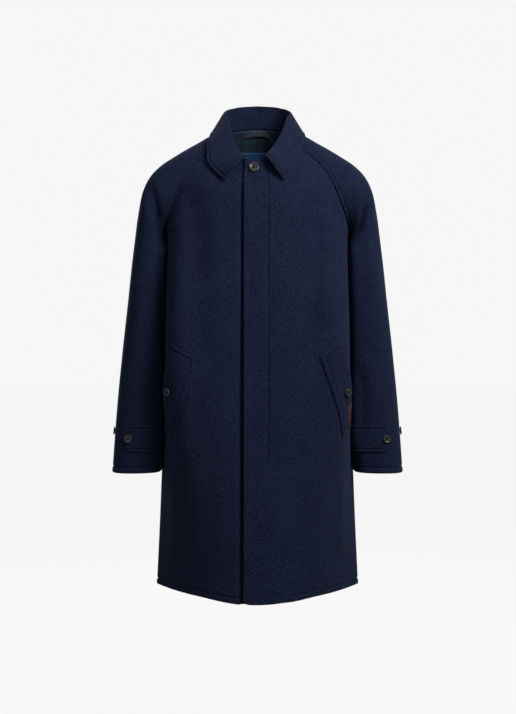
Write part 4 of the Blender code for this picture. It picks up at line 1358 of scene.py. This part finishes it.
def pocket_cloth(side, front):
    """A slanted welt with a free rear edge, and its flat points as arc and height."""
    lengthwise = edge_shares(POCKET_ROWS, POCKET_LENGTH)
    down, over = np.meshgrid(lengthwise, edge_shares(POCKET_COLUMNS, POCKET_WIDTH), indexing="ij")
    top_front, top_back, low_back, low_front = (np.array(c, float) for c in POCKET_CORNERS[side])
    flat = (1 - down)[..., None] * ((1 - over)[..., None] * top_front + over[..., None] * top_back)
    flat = flat + down[..., None] * ((1 - over)[..., None] * low_front + over[..., None] * low_back)
    rows, columns = places_at(front, flat[..., 0], flat[..., 1], HEM_Z)
    gape = POCKET_GAPE * smooth_step((over - POCKET_SEWN) / (1 - POCKET_SEWN)) * np.sin(np.pi * down) ** 2
    return laid_cloth(front, rows, columns, POCKET_GAP + gape, TRIM_WALL, -front.sign), flat


def edge_shares(count, length):
    """Shares from 0 to 1 across a trim of a given length, close together at both ends."""
    return spread(0, length, EDGE_STEPS, count - 2 * len(EDGE_STEPS)) / length


def smooth_run(values):
    """Running mean over a few neighbours, with the ends repeated."""
    count = 2 * LINE_SMOOTHING + 1
    padded = np.pad(np.asarray(values, float), LINE_SMOOTHING, mode="edge")
    return np.convolve(padded, np.ones(count) / count, mode="valid")


def trim_stitches(name, cloth, flat, corners):
    """Row of stitches on a trim, along a line through corners among its flat points."""
    line = spaced_line(corners, LINE_STEP)
    nearest = ((flat.reshape(-1, 2)[None] - line[:, None]) ** 2).sum(2).argmin(1)
    rows, columns = (smooth_run(numbers) for numbers in np.divmod(nearest, flat.shape[1]))
    return add_stitches(name, [cloth_line(cloth, rows, columns)])


def add_pocket(side, front):
    """A welt with its stitches, button and tab; returns what lies on its front."""
    cloth, flat = pocket_cloth(side, front)
    corners = np.array(POCKET_CORNERS[side], float)
    top, rear, bottom, inner = outline_distance(flat, corners)
    sewn = np.minimum(np.minimum(top, inner), bottom)
    cloth.round_edge(np.minimum(sewn, rear))
    cloth.relief += sewn_edge(sewn, POCKET_STITCH)
    cloth.relief += pucker(cloth.low, rear)
    name = f"pocket_welt_{side}"
    shell = tweed_shell(name, cloth)
    path = inset(corners, POCKET_STITCH)[list(POCKET_SEWN_PATH)]
    stitches = trim_stitches(f"{name}_stitching", cloth, flat, path)
    button = add_button(f"pocket_button_{side}", cloth, SMALL_BUTTON)
    if side == "left":
        add_tab_label(cloth)
    declare(cloth)
    return [shell]


def strap_cloth(sleeve):
    """A pointed strap across the front of a cuff, and its flat points as arc and height."""
    high = edge_shares(STRAP_ROWS, STRAP_TOP_Z - STRAP_LOW_Z) * 2 - 1
    over = edge_shares(STRAP_COLUMNS, STRAP_LENGTH)
    ends = STRAP_TIP - (STRAP_TIP - STRAP_SHOULDER) * np.abs(high)
    shares = STRAP_START + (ends - STRAP_START)[:, None] * over
    heights = (STRAP_TOP_Z + STRAP_LOW_Z) / 2 + (STRAP_TOP_Z - STRAP_LOW_Z) / 2 * high
    heights = np.repeat(heights[:, None], len(over), axis=1)
    levels = fine_heights(CUFF_Z)
    reach = np.interp(heights, levels, sleeve.arcs[:len(levels), -1])
    arcs = shares * reach
    rows, columns = places_at(sleeve, arcs, heights, CUFF_Z)
    flat = np.stack([arcs, heights], axis=-1)
    return laid_cloth(sleeve, rows, columns, STRAP_GAP, TRIM_WALL, sleeve.sign), flat


def add_strap(side, sleeve):
    """A cuff strap with its stitches and button, and the spare button; returns what lies on the sleeve."""
    cloth, flat = strap_cloth(sleeve)
    middle = len(flat) // 2
    corners = np.array([
        flat[0, 0], flat[0, -1], flat[middle, -1], flat[-1, -1], flat[-1, 0],
    ])
    low, tip_low, tip_high, high, start = outline_distance(flat, corners)
    free = np.minimum.reduce([low, tip_low, tip_high, high])
    cloth.round_edge(np.minimum(free, start))
    cloth.relief += sewn_edge(free, STRAP_STITCH)
    name = f"cuff_strap_{side}"
    shell = tweed_shell(name, cloth)
    stitches = trim_stitches(f"{name}_stitching", cloth, flat, inset(corners, STRAP_STITCH))
    button = add_button(f"cuff_button_{side}", cloth, SMALL_BUTTON)
    declare(cloth)
    spare = add_button(f"cuff_spare_button_{side}", sleeve, SMALL_BUTTON)
    return [shell, spare]


def add_tab_label(welt):
    """Plain woven tab on the free edge of the left pocket."""
    down, over = np.meshgrid(np.linspace(0, 1, TAB_ROWS), np.linspace(0, 1, TAB_COLUMNS), indexing="ij")
    numbers_down = (TAB_TOP_SHARE + (TAB_LOW_SHARE - TAB_TOP_SHARE) * down) * welt.low[-1].mean()
    numbers_over = (TAB_EDGE_SHARE - TAB_WIDTH_SHARE * (1 - over)) * welt.near[:, -1].mean()
    rows = np.interp(numbers_down, welt.low.mean(axis=1), np.arange(welt.low.shape[0]))
    columns = np.interp(numbers_over, welt.near.mean(axis=0), np.arange(welt.near.shape[1]))
    cloth = laid_cloth(welt, rows, columns, LAY_GAP, LABEL_WALL, welt.sign)
    label = add_shell("tab_label_cloth", cloth, [label_material("tab_label")])
    rides(label, "tab_label", "tab_label")
    declare(cloth)
    return label


def add_inside(back):
    """Lining, hanging loop and blank label inside the back of the neck, from the back's own points."""
    first = len(back.points) - 1 - RAGLAN_FINE_ROWS

    def inside(drops, halves, wall, depth, bow=0.0):
        if drops.ndim == 1:
            drops = np.repeat(drops[:, None], len(halves), axis=1)
        rows = first + np.clip((RAGLAN_ROWS - drops) / RAGLAN_ROWS, 0, 1) * RAGLAN_FINE_ROWS
        over = np.broadcast_to(halves, rows.shape)
        columns = np.empty(rows.shape)
        for at in np.ndindex(rows.shape):
            arcs = back.arcs[int(round(rows[at]))]
            columns[at] = np.interp(over[at] * arcs[0], arcs[::-1], np.arange(len(arcs))[::-1])
        out = -patch(back.normals, rows, columns)
        lift = np.broadcast_to(depth + wall + bow, rows.shape)
        return Cloth(patch(back.points, rows, columns) + out * lift[..., None], 1, wall)

    depth = WALL + LAY_GAP
    drops = np.linspace(LINING_ROWS, LINING_INSET, LINING_GRID[0])
    lining = inside(drops, np.linspace(-LINING_HALF, LINING_HALF, LINING_GRID[1]), LINING_WALL, depth)
    top = lining.points[-1] - lining.points[-2]
    top *= LINING_RISE / np.linalg.norm(top, axis=1)[:, None]
    lining = Cloth(np.concatenate([lining.points, [lining.points[-1] + top]]), 1, LINING_WALL)
    depth += LINING_WALL + LAY_GAP
    drops = np.linspace(LABEL_LOW_ROW, LABEL_TOP_ROW, LABEL_GRID[0])
    label = inside(drops, np.linspace(-LABEL_HALF, LABEL_HALF, LABEL_GRID[1]), LABEL_WALL, depth)
    halves = np.linspace(-LOOP_HALF, LOOP_HALF, LOOP_GRID[1])
    drops = np.linspace(LOOP_LOW_ROW, LOOP_TOP_ROW, LOOP_GRID[0])[:, None]
    drops = drops + LOOP_DIVE * (halves / LOOP_HALF) ** 4
    bow = LOOP_STAND_OFF * np.sin(np.linspace(0, np.pi, LOOP_GRID[1])) ** 0.5
    loop = inside(drops, halves, LABEL_WALL, depth, bow[None])
    made = (
        ("back_lining", lining, lining_material(), "lining", "back_cloth"),
        ("neck_label", label, label_material("neck_label"), "neck_label", "back_lining_cloth"),
        ("hanging_loop", loop, loop_material(), "loop", "back_lining_cloth"),
    )
    for name, cloth, finish, slot, under in made:
        shell = rides(add_shell(f"{name}_cloth", cloth, [finish]), slot, name)
        declare(cloth)


def lathe(profile, sides):
    """Points and faces of a closed turned shape about Z, from its foot over the rim to its middle."""
    points, rings, faces = [], [], []
    for out, rise in profile:
        turns = sides if out else 1
        rings.append([len(points) + k for k in range(turns)])
        for k in range(turns):
            angle = 2 * math.pi * k / sides
            points.append((out * math.cos(angle), out * math.sin(angle), rise))
    for low, high in zip(rings, rings[1:]):
        for k in range(sides):
            corners = [low[k % len(low)], low[(k + 1) % len(low)]]
            corners += [high[(k + 1) % len(high)], high[k % len(high)]]
            faces.append(tuple(dict.fromkeys(corners)))
    return np.array(points), faces


@cache
def button_mesh(size):
    """A turned four-hole button with its sewing thread, about its own centre."""
    r, h = size.radius, size.height
    points, faces = lathe([(out * r, rise * h - h / 2) for out, rise in BUTTON_PROFILE], BUTTON_SIDES)
    body = mesh_object("button_body", points, faces, [horn_material(), thread_material()])
    hole = [(0, -h), (size.hole, -h), (size.hole, h), (0, h)]
    hole_points, hole_faces = lathe(hole, HOLE_SIDES)
    spots = [(sx * size.spread, sy * size.spread, 0) for sx in (-1, 1) for sy in (-1, 1)]
    cut_points = np.concatenate([hole_points + spot for spot in spots])
    cut_faces = [tuple(v + k * len(hole_points) for v in f) for k in range(len(spots)) for f in hole_faces]
    cutter = mesh_object("button_holes", cut_points, cut_faces, [horn_material()])
    cut = body.modifiers.new("holes", "BOOLEAN")
    cut.object = cutter
    cut.operation = "DIFFERENCE"
    cut.solver = "EXACT"
    shown = bpy.context.evaluated_depsgraph_get()
    made = bpy.data.meshes.new_from_object(body.evaluated_get(shown))
    made.name = f"button_{size.radius:g}"
    for thing in (body, cutter):
        bpy.data.objects.remove(thing)
    add_thread(made, size)
    return made


def add_thread(mesh, size):
    """Two crossing pairs of sewing thread between a button's holes, joined to its mesh."""
    s = size.spread
    low = THREAD_LOW * size.height
    high = THREAD_HIGH * size.height
    turns = 2 * np.pi * np.arange(THREAD_SIDES) / THREAD_SIDES
    vertices = [tuple(v.co) for v in mesh.vertices]
    faces = [tuple(p.vertices) for p in mesh.polygons]
    kinds = [0] * len(faces)
    for k, (sx, sy) in enumerate(((1, 1), (1, -1))):
        shoulder = high + THREAD_STACK * k
        crown = high + THREAD_CROWN + 2 * THREAD_STACK * k
        stops = ((-1, low), (-THREAD_SHOULDER, shoulder), (0, crown), (THREAD_SHOULDER, shoulder), (1, low))
        path = np.array([(at * s * sx, at * s * sy, rise) for at, rise in stops])
        line = through(np.arange(len(stops)), path, np.linspace(0, len(stops) - 1, THREAD_STEPS))
        run = np.gradient(line, axis=0)
        run /= np.linalg.norm(run, axis=1)[:, None]
        side = np.array([sy, -sx, 0]) / math.sqrt(2)
        up = np.cross(side, run)
        first = len(vertices)
        for point, above in zip(line, up):
            for turn in turns:
                place = point + THREAD_RADIUS * THREAD_FLAT * side * math.cos(turn)
                place = place + THREAD_RADIUS * above * math.sin(turn)
                vertices.append(tuple(place * MM))
        for i in range(len(line) - 1):
            for j in range(THREAD_SIDES):
                a = first + i * THREAD_SIDES + j
                b = first + i * THREAD_SIDES + (j + 1) % THREAD_SIDES
                faces.append((a, b, b + THREAD_SIDES, a + THREAD_SIDES))
        last = len(vertices)
        faces.append(tuple(range(first + THREAD_SIDES - 1, first - 1, -1)))
        faces.append(tuple(range(last - THREAD_SIDES, last)))
    kinds += [1] * (len(faces) - len(kinds))
    mesh.clear_geometry()
    mesh.from_pydata(vertices, [], faces)
    mesh.polygons.foreach_set("material_index", np.array(kinds, np.int32))
    mesh.shade_smooth()
    mesh.set_sharp_from_angle(angle=math.radians(SHARP_ANGLE))


def add_button(node, cloth, size):
    """A fine button in place of a plain one, square to the cloth under it."""
    low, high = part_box(node)
    centre = np.array((low + high) / 2)
    apart = np.linalg.norm(cloth.points - centre / MM, axis=2)
    normal = Vector(cloth.normals[np.unravel_index(apart.argmin(), apart.shape)])
    made = bpy.data.objects.new(f"{node}_fine", button_mesh(size))
    bpy.context.scene.collection.objects.link(made)
    turn = normal.to_track_quat("Z", "Y").to_matrix().to_4x4()
    made.matrix_world = Matrix.Translation(Vector(centre)) @ turn
    return rides(made, "horn", node)


def new_material(name):
    """Node material, with its tree and its principled shader."""
    made = bpy.data.materials.new(name)
    made.use_nodes = True
    return made, made.node_tree, made.node_tree.nodes["Principled BSDF"]


def set_inputs(tree, made, inputs):
    """Gives inputs of a node their values, or links them to other nodes' sockets."""
    for key, value in inputs.items():
        if isinstance(value, bpy.types.NodeSocket):
            tree.links.new(value, made.inputs[key])
        else:
            made.inputs[key].default_value = value


def node(tree, kind, inputs=None, **settings):
    """A node with its settings and inputs."""
    made = tree.nodes.new(kind)
    for key, value in settings.items():
        setattr(made, key, value)
    set_inputs(tree, made, inputs or {})
    return made


def cloth_coordinates(tree, scale=(1, 1, 1), turn=0.0):
    """The cloth's own map in metres, stretched, and turned by degrees."""
    place = node(tree, "ShaderNodeUVMap", uv_map=UV_MAP).outputs["UV"]
    inputs = {"Vector": place, "Scale": scale, "Rotation": (0, 0, math.radians(turn))}
    return node(tree, "ShaderNodeMapping", inputs).outputs["Vector"]


def noise(tree, place, scale, detail=2.0):
    inputs = {"Vector": place, "Scale": scale, "Detail": detail}
    return node(tree, "ShaderNodeTexNoise", inputs).outputs["Fac"]


def ribs(tree, turn, scale, distortion=0.0, detail=2.0):
    """Fine ribs over the cloth, turned by degrees."""
    place = cloth_coordinates(tree, turn=turn)
    inputs = {"Vector": place, "Scale": scale, "Distortion": distortion, "Detail": detail}
    return node(tree, "ShaderNodeTexWave", inputs).outputs["Fac"]


def rgba(colour):
    """A colour with its alpha; a socket stays as it is."""
    return colour if isinstance(colour, bpy.types.NodeSocket) else (*colour, 1.0)


def mixed(tree, share, one, two):
    """Mix of two colours, each three numbers or a socket."""
    inputs = {MIX_SHARE: share, MIX_ONE: rgba(one), MIX_TWO: rgba(two)}
    return node(tree, "ShaderNodeMix", inputs, data_type="RGBA").outputs[MIX_RESULT]


def ranged(tree, value, ends):
    """Value spread so that the first end gives 0 and the second gives 1."""
    inputs = {"Value": value, "From Min": ends[0], "From Max": ends[1]}
    return node(tree, "ShaderNodeMapRange", inputs).outputs["Result"]


def calc(tree, kind, one, two):
    return node(tree, "ShaderNodeMath", {0: one, 1: two}, operation=kind).outputs[0]


def added(tree, one, two, weight):
    """One value plus another that is weighted."""
    return calc(tree, "ADD", one, calc(tree, "MULTIPLY", two, weight))


def bump(tree, height, strength, distance):
    inputs = {"Height": height, "Strength": strength, "Distance": distance}
    return node(tree, "ShaderNodeBump", inputs).outputs["Normal"]


@cache
def tweed_material():
    """Navy wool: slubby warp and weft, heathered flecks, a fine twill and a soft nap."""
    made, tree, shader = new_material("tweed_cloth")
    plain = cloth_coordinates(tree)
    warp = noise(tree, cloth_coordinates(tree, (1, YARN_STRETCH, 1)), YARN_SCALE)
    weft = noise(tree, cloth_coordinates(tree, (YARN_STRETCH, 1, 1)), YARN_SCALE)
    heather = noise(tree, plain, HEATHER_SCALE, 1.0)
    fleck = noise(tree, plain, FLECK_SCALE, 1.0)
    cloudy = noise(tree, plain, CLOUD_SCALE)
    woven = added(tree, calc(tree, "ADD", warp, weft), heather, HEATHER_WEIGHT)
    shade = ranged(tree, added(tree, woven, cloudy, CLOUD_WEIGHT), SHADE_RANGE)
    colour = mixed(tree, shade, TWEED_DARK, TWEED_LIGHT)
    spots = calc(tree, "MULTIPLY", ranged(tree, fleck, FLECK_RANGE), FLECK_WEIGHT)
    colour = mixed(tree, spots, colour, TWEED_FLECK)
    twill = ribs(tree, TWILL_TURN, TWILL_SCALE, TWILL_DISTORTION, 1.0)
    normal = bump(tree, added(tree, woven, twill, TWILL_WEIGHT), *TWEED_BUMP)
    set_inputs(tree, shader, {"Base Color": colour, "Normal": normal, **TWEED_NAP})
    return made


def stripes(tree, place):
    """Tartan stripes across one direction of the cloth."""
    share = calc(tree, "FRACT", calc(tree, "DIVIDE", place, TARTAN_REPEAT), 0.0)
    ramp = node(tree, "ShaderNodeValToRGB", {"Fac": share})
    ramp.color_ramp.interpolation = "CONSTANT"
    for k, (at, colour) in enumerate(TARTAN_STOPS):
        stop = ramp.color_ramp.elements[k] if k < 2 else ramp.color_ramp.elements.new(at)
        stop.position = at
        stop.color = rgba(colour)
    return ramp.outputs["Color"]


@cache
def lining_material():
    """Smooth lining woven in a dark traditional tartan of green, navy and black."""
    made, tree, shader = new_material("tartan_lining")
    split = node(tree, "ShaderNodeSeparateXYZ", {"Vector": cloth_coordinates(tree)})
    twill = ribs(tree, LINING_TURN, RIB_SCALE)
    colour = mixed(tree, twill, stripes(tree, split.outputs["X"]), stripes(tree, split.outputs["Y"]))
    normal = bump(tree, twill, *LINING_BUMP)
    set_inputs(tree, shader, {"Base Color": colour, "Normal": normal, **LINING_FINISH})
    return made


@cache
def horn_material():
    """Polished dark horn with paler streaks."""
    made, tree, shader = new_material("dark_horn")
    place = node(tree, "ShaderNodeTexCoord").outputs["Object"]
    place = node(tree, "ShaderNodeMapping", {"Vector": place, "Scale": HORN_STREAKS}).outputs["Vector"]
    streak = noise(tree, place, 1.0, 4.0)
    colour = mixed(tree, ranged(tree, streak, HORN_RANGE), *HORN_COLOURS)
    gloss = ranged(tree, streak, HORN_GLOSS_RANGE)
    inputs = {"Base Color": colour, "Roughness": gloss, "Specular IOR Level": HORN_SPECULAR}
    set_inputs(tree, shader, inputs)
    return made


@cache
def thread_material():
    """Navy sewing thread, a shade darker than the cloth."""
    made, tree, shader = new_material("sewing_thread")
    place = node(tree, "ShaderNodeTexCoord").outputs["Object"]
    colour = mixed(tree, noise(tree, place, THREAD_SCALE, 1.0), *THREAD_COLOURS)
    set_inputs(tree, shader, {"Base Color": colour, **THREAD_FINISH})
    return made


def loop_material():
    """Woven tape with fine ribs along it."""
    made, tree, shader = new_material("woven_tape")
    slub = noise(tree, cloth_coordinates(tree), TAPE_SCALE)
    normal = bump(tree, ribs(tree, TAPE_TURN, RIB_SCALE), *TAPE_BUMP)
    colour = mixed(tree, slub, *TAPE_COLOURS)
    set_inputs(tree, shader, {"Base Color": colour, "Normal": normal, "Roughness": TAPE_ROUGHNESS})
    return made


def label_material(name):
    """Blank woven label with fine cross ribs."""
    made, tree, shader = new_material(f"{name}_weave")
    fine = ribs(tree, 0, LABEL_RIB_SCALE, LABEL_RIB_DISTORTION)
    slub = noise(tree, cloth_coordinates(tree, (LABEL_SLUB_STRETCH, 1, 1)), LABEL_SLUB_SCALE)
    share = added(tree, calc(tree, "MULTIPLY", fine, LABEL_RIB_WEIGHT), slub, LABEL_SLUB_WEIGHT)
    colour = mixed(tree, share, *LABEL_COLOURS[name])
    normal = bump(tree, fine, *LABEL_BUMP)
    set_inputs(tree, shader, {"Base Color": colour, "Normal": normal, "Roughness": LABEL_ROUGHNESS})
    return made


def add_floor():
    """Wide pale floor, at the height of the ground under a wearer."""
    mesh = bpy.data.meshes.new("floor")
    half = FLOOR_SIZE / 2
    corners = [(x * half, y * half, FLOOR_Z) for x, y in ((-1, -1), (1, -1), (1, 1), (-1, 1))]
    mesh.from_pydata(corners, [], [(0, 1, 2, 3)])
    made, tree, shader = new_material("pale_floor")
    inputs = {"Base Color": (FLOOR_GREY, FLOOR_GREY, FLOOR_GREY, 1), "Roughness": 1.0}
    inputs.update({"Specular IOR Level": 0.0, "Emission Color": WHITE, "Emission Strength": FLOOR_GLOW})
    set_inputs(tree, shader, inputs)
    mesh.materials.append(made)
    floor = bpy.data.objects.new("floor", mesh)
    floor.visible_diffuse = False
    floor.visible_glossy = False
    bpy.context.scene.collection.objects.link(floor)


def add_lights():
    for light in LIGHTS:
        data = bpy.data.lights.new(light.name, "AREA")
        data.shape = "DISK"
        data.size = light.size
        data.energy = light.power
        made = bpy.data.objects.new(light.name, data)
        made.location = light.place
        aim = Vector(light.target) - Vector(light.place)
        made.rotation_euler = aim.to_track_quat("-Z", "Y").to_euler()
        bpy.context.scene.collection.objects.link(made)


def add_world():
    """Soft light from all round, and a pale backdrop behind the floor."""
    world = bpy.data.worlds.new("studio")
    world.use_nodes = True
    tree = world.node_tree
    tree.nodes.clear()
    seen = node(tree, "ShaderNodeBackground", {"Color": WHITE, "Strength": BACKDROP})
    lit = node(tree, "ShaderNodeBackground", {"Color": WHITE, "Strength": AMBIENT})
    path = node(tree, "ShaderNodeLightPath")
    inputs = {0: path.outputs["Is Camera Ray"], 1: lit.outputs[0], 2: seen.outputs[0]}
    mix = node(tree, "ShaderNodeMixShader", inputs)
    node(tree, "ShaderNodeOutputWorld", {"Surface": mix.outputs[0]})
    bpy.context.scene.world = world
    bpy.context.scene.view_settings.view_transform = "Standard"


def add_camera():
    """Camera square in front of the coat, with the photo's framing."""
    data = bpy.data.cameras.new("camera")
    data.sensor_width = SENSOR
    data.lens = SENSOR * CAMERA_FAR / (PHOTO_HEIGHT * PIXEL)
    made = bpy.data.objects.new("camera", data)
    x = (PHOTO_WIDTH / 2 - ORIGIN_X) * PIXEL
    z = (ORIGIN_Y - PHOTO_HEIGHT / 2) * PIXEL
    made.location = (x * MM, -CAMERA_FAR * MM, z * MM)
    made.rotation_euler = (math.pi / 2, 0, 0)
    bpy.context.scene.collection.objects.link(made)
    bpy.context.scene.camera = made


def main():
    body = {"front_left": front_cloth(1), "front_right": front_cloth(-1), "back": back_cloth()}
    add_creases("body", body)
    sleeves = {}
    for side, sign in (("left", 1), ("right", -1)):
        halves = {
            f"sleeve_front_{side}": sleeve_cloth(sign, -1),
            f"sleeve_back_{side}": sleeve_cloth(sign, 1),
        }
        add_creases(f"sleeve_{side}", halves)
        sleeves.update(halves)
    panels = (*body.values(), *sleeves.values())
    for cloth in panels:
        part_seams(cloth)
    match_seams(panels)
    for side, sign in (("left", 1), ("right", -1)):
        front = body[f"front_{side}"]
        extras = add_pocket(side, front)
        if side == "left":
            extras.append(add_button("front_button", front, FRONT_BUTTON))
        dress_front(front, sign)
        add_front(f"front_{side}", front, sign)
        sleeve = sleeves[f"sleeve_front_{side}"]
        extras = add_strap(side, sleeve)
        for half in ("front", "back"):
            cloth = sleeves[f"sleeve_{half}_{side}"]
            dress_sleeve(cloth)
            add_sleeve(f"sleeve_{half}_{side}", cloth)
    add_inside(body["back"])
    dress_back(body["back"])
    add_back(body["back"])
    add_collar()
    add_floor()
    add_lights()
    add_world()
    add_camera()


main()

bpy.context.view_layer.update()
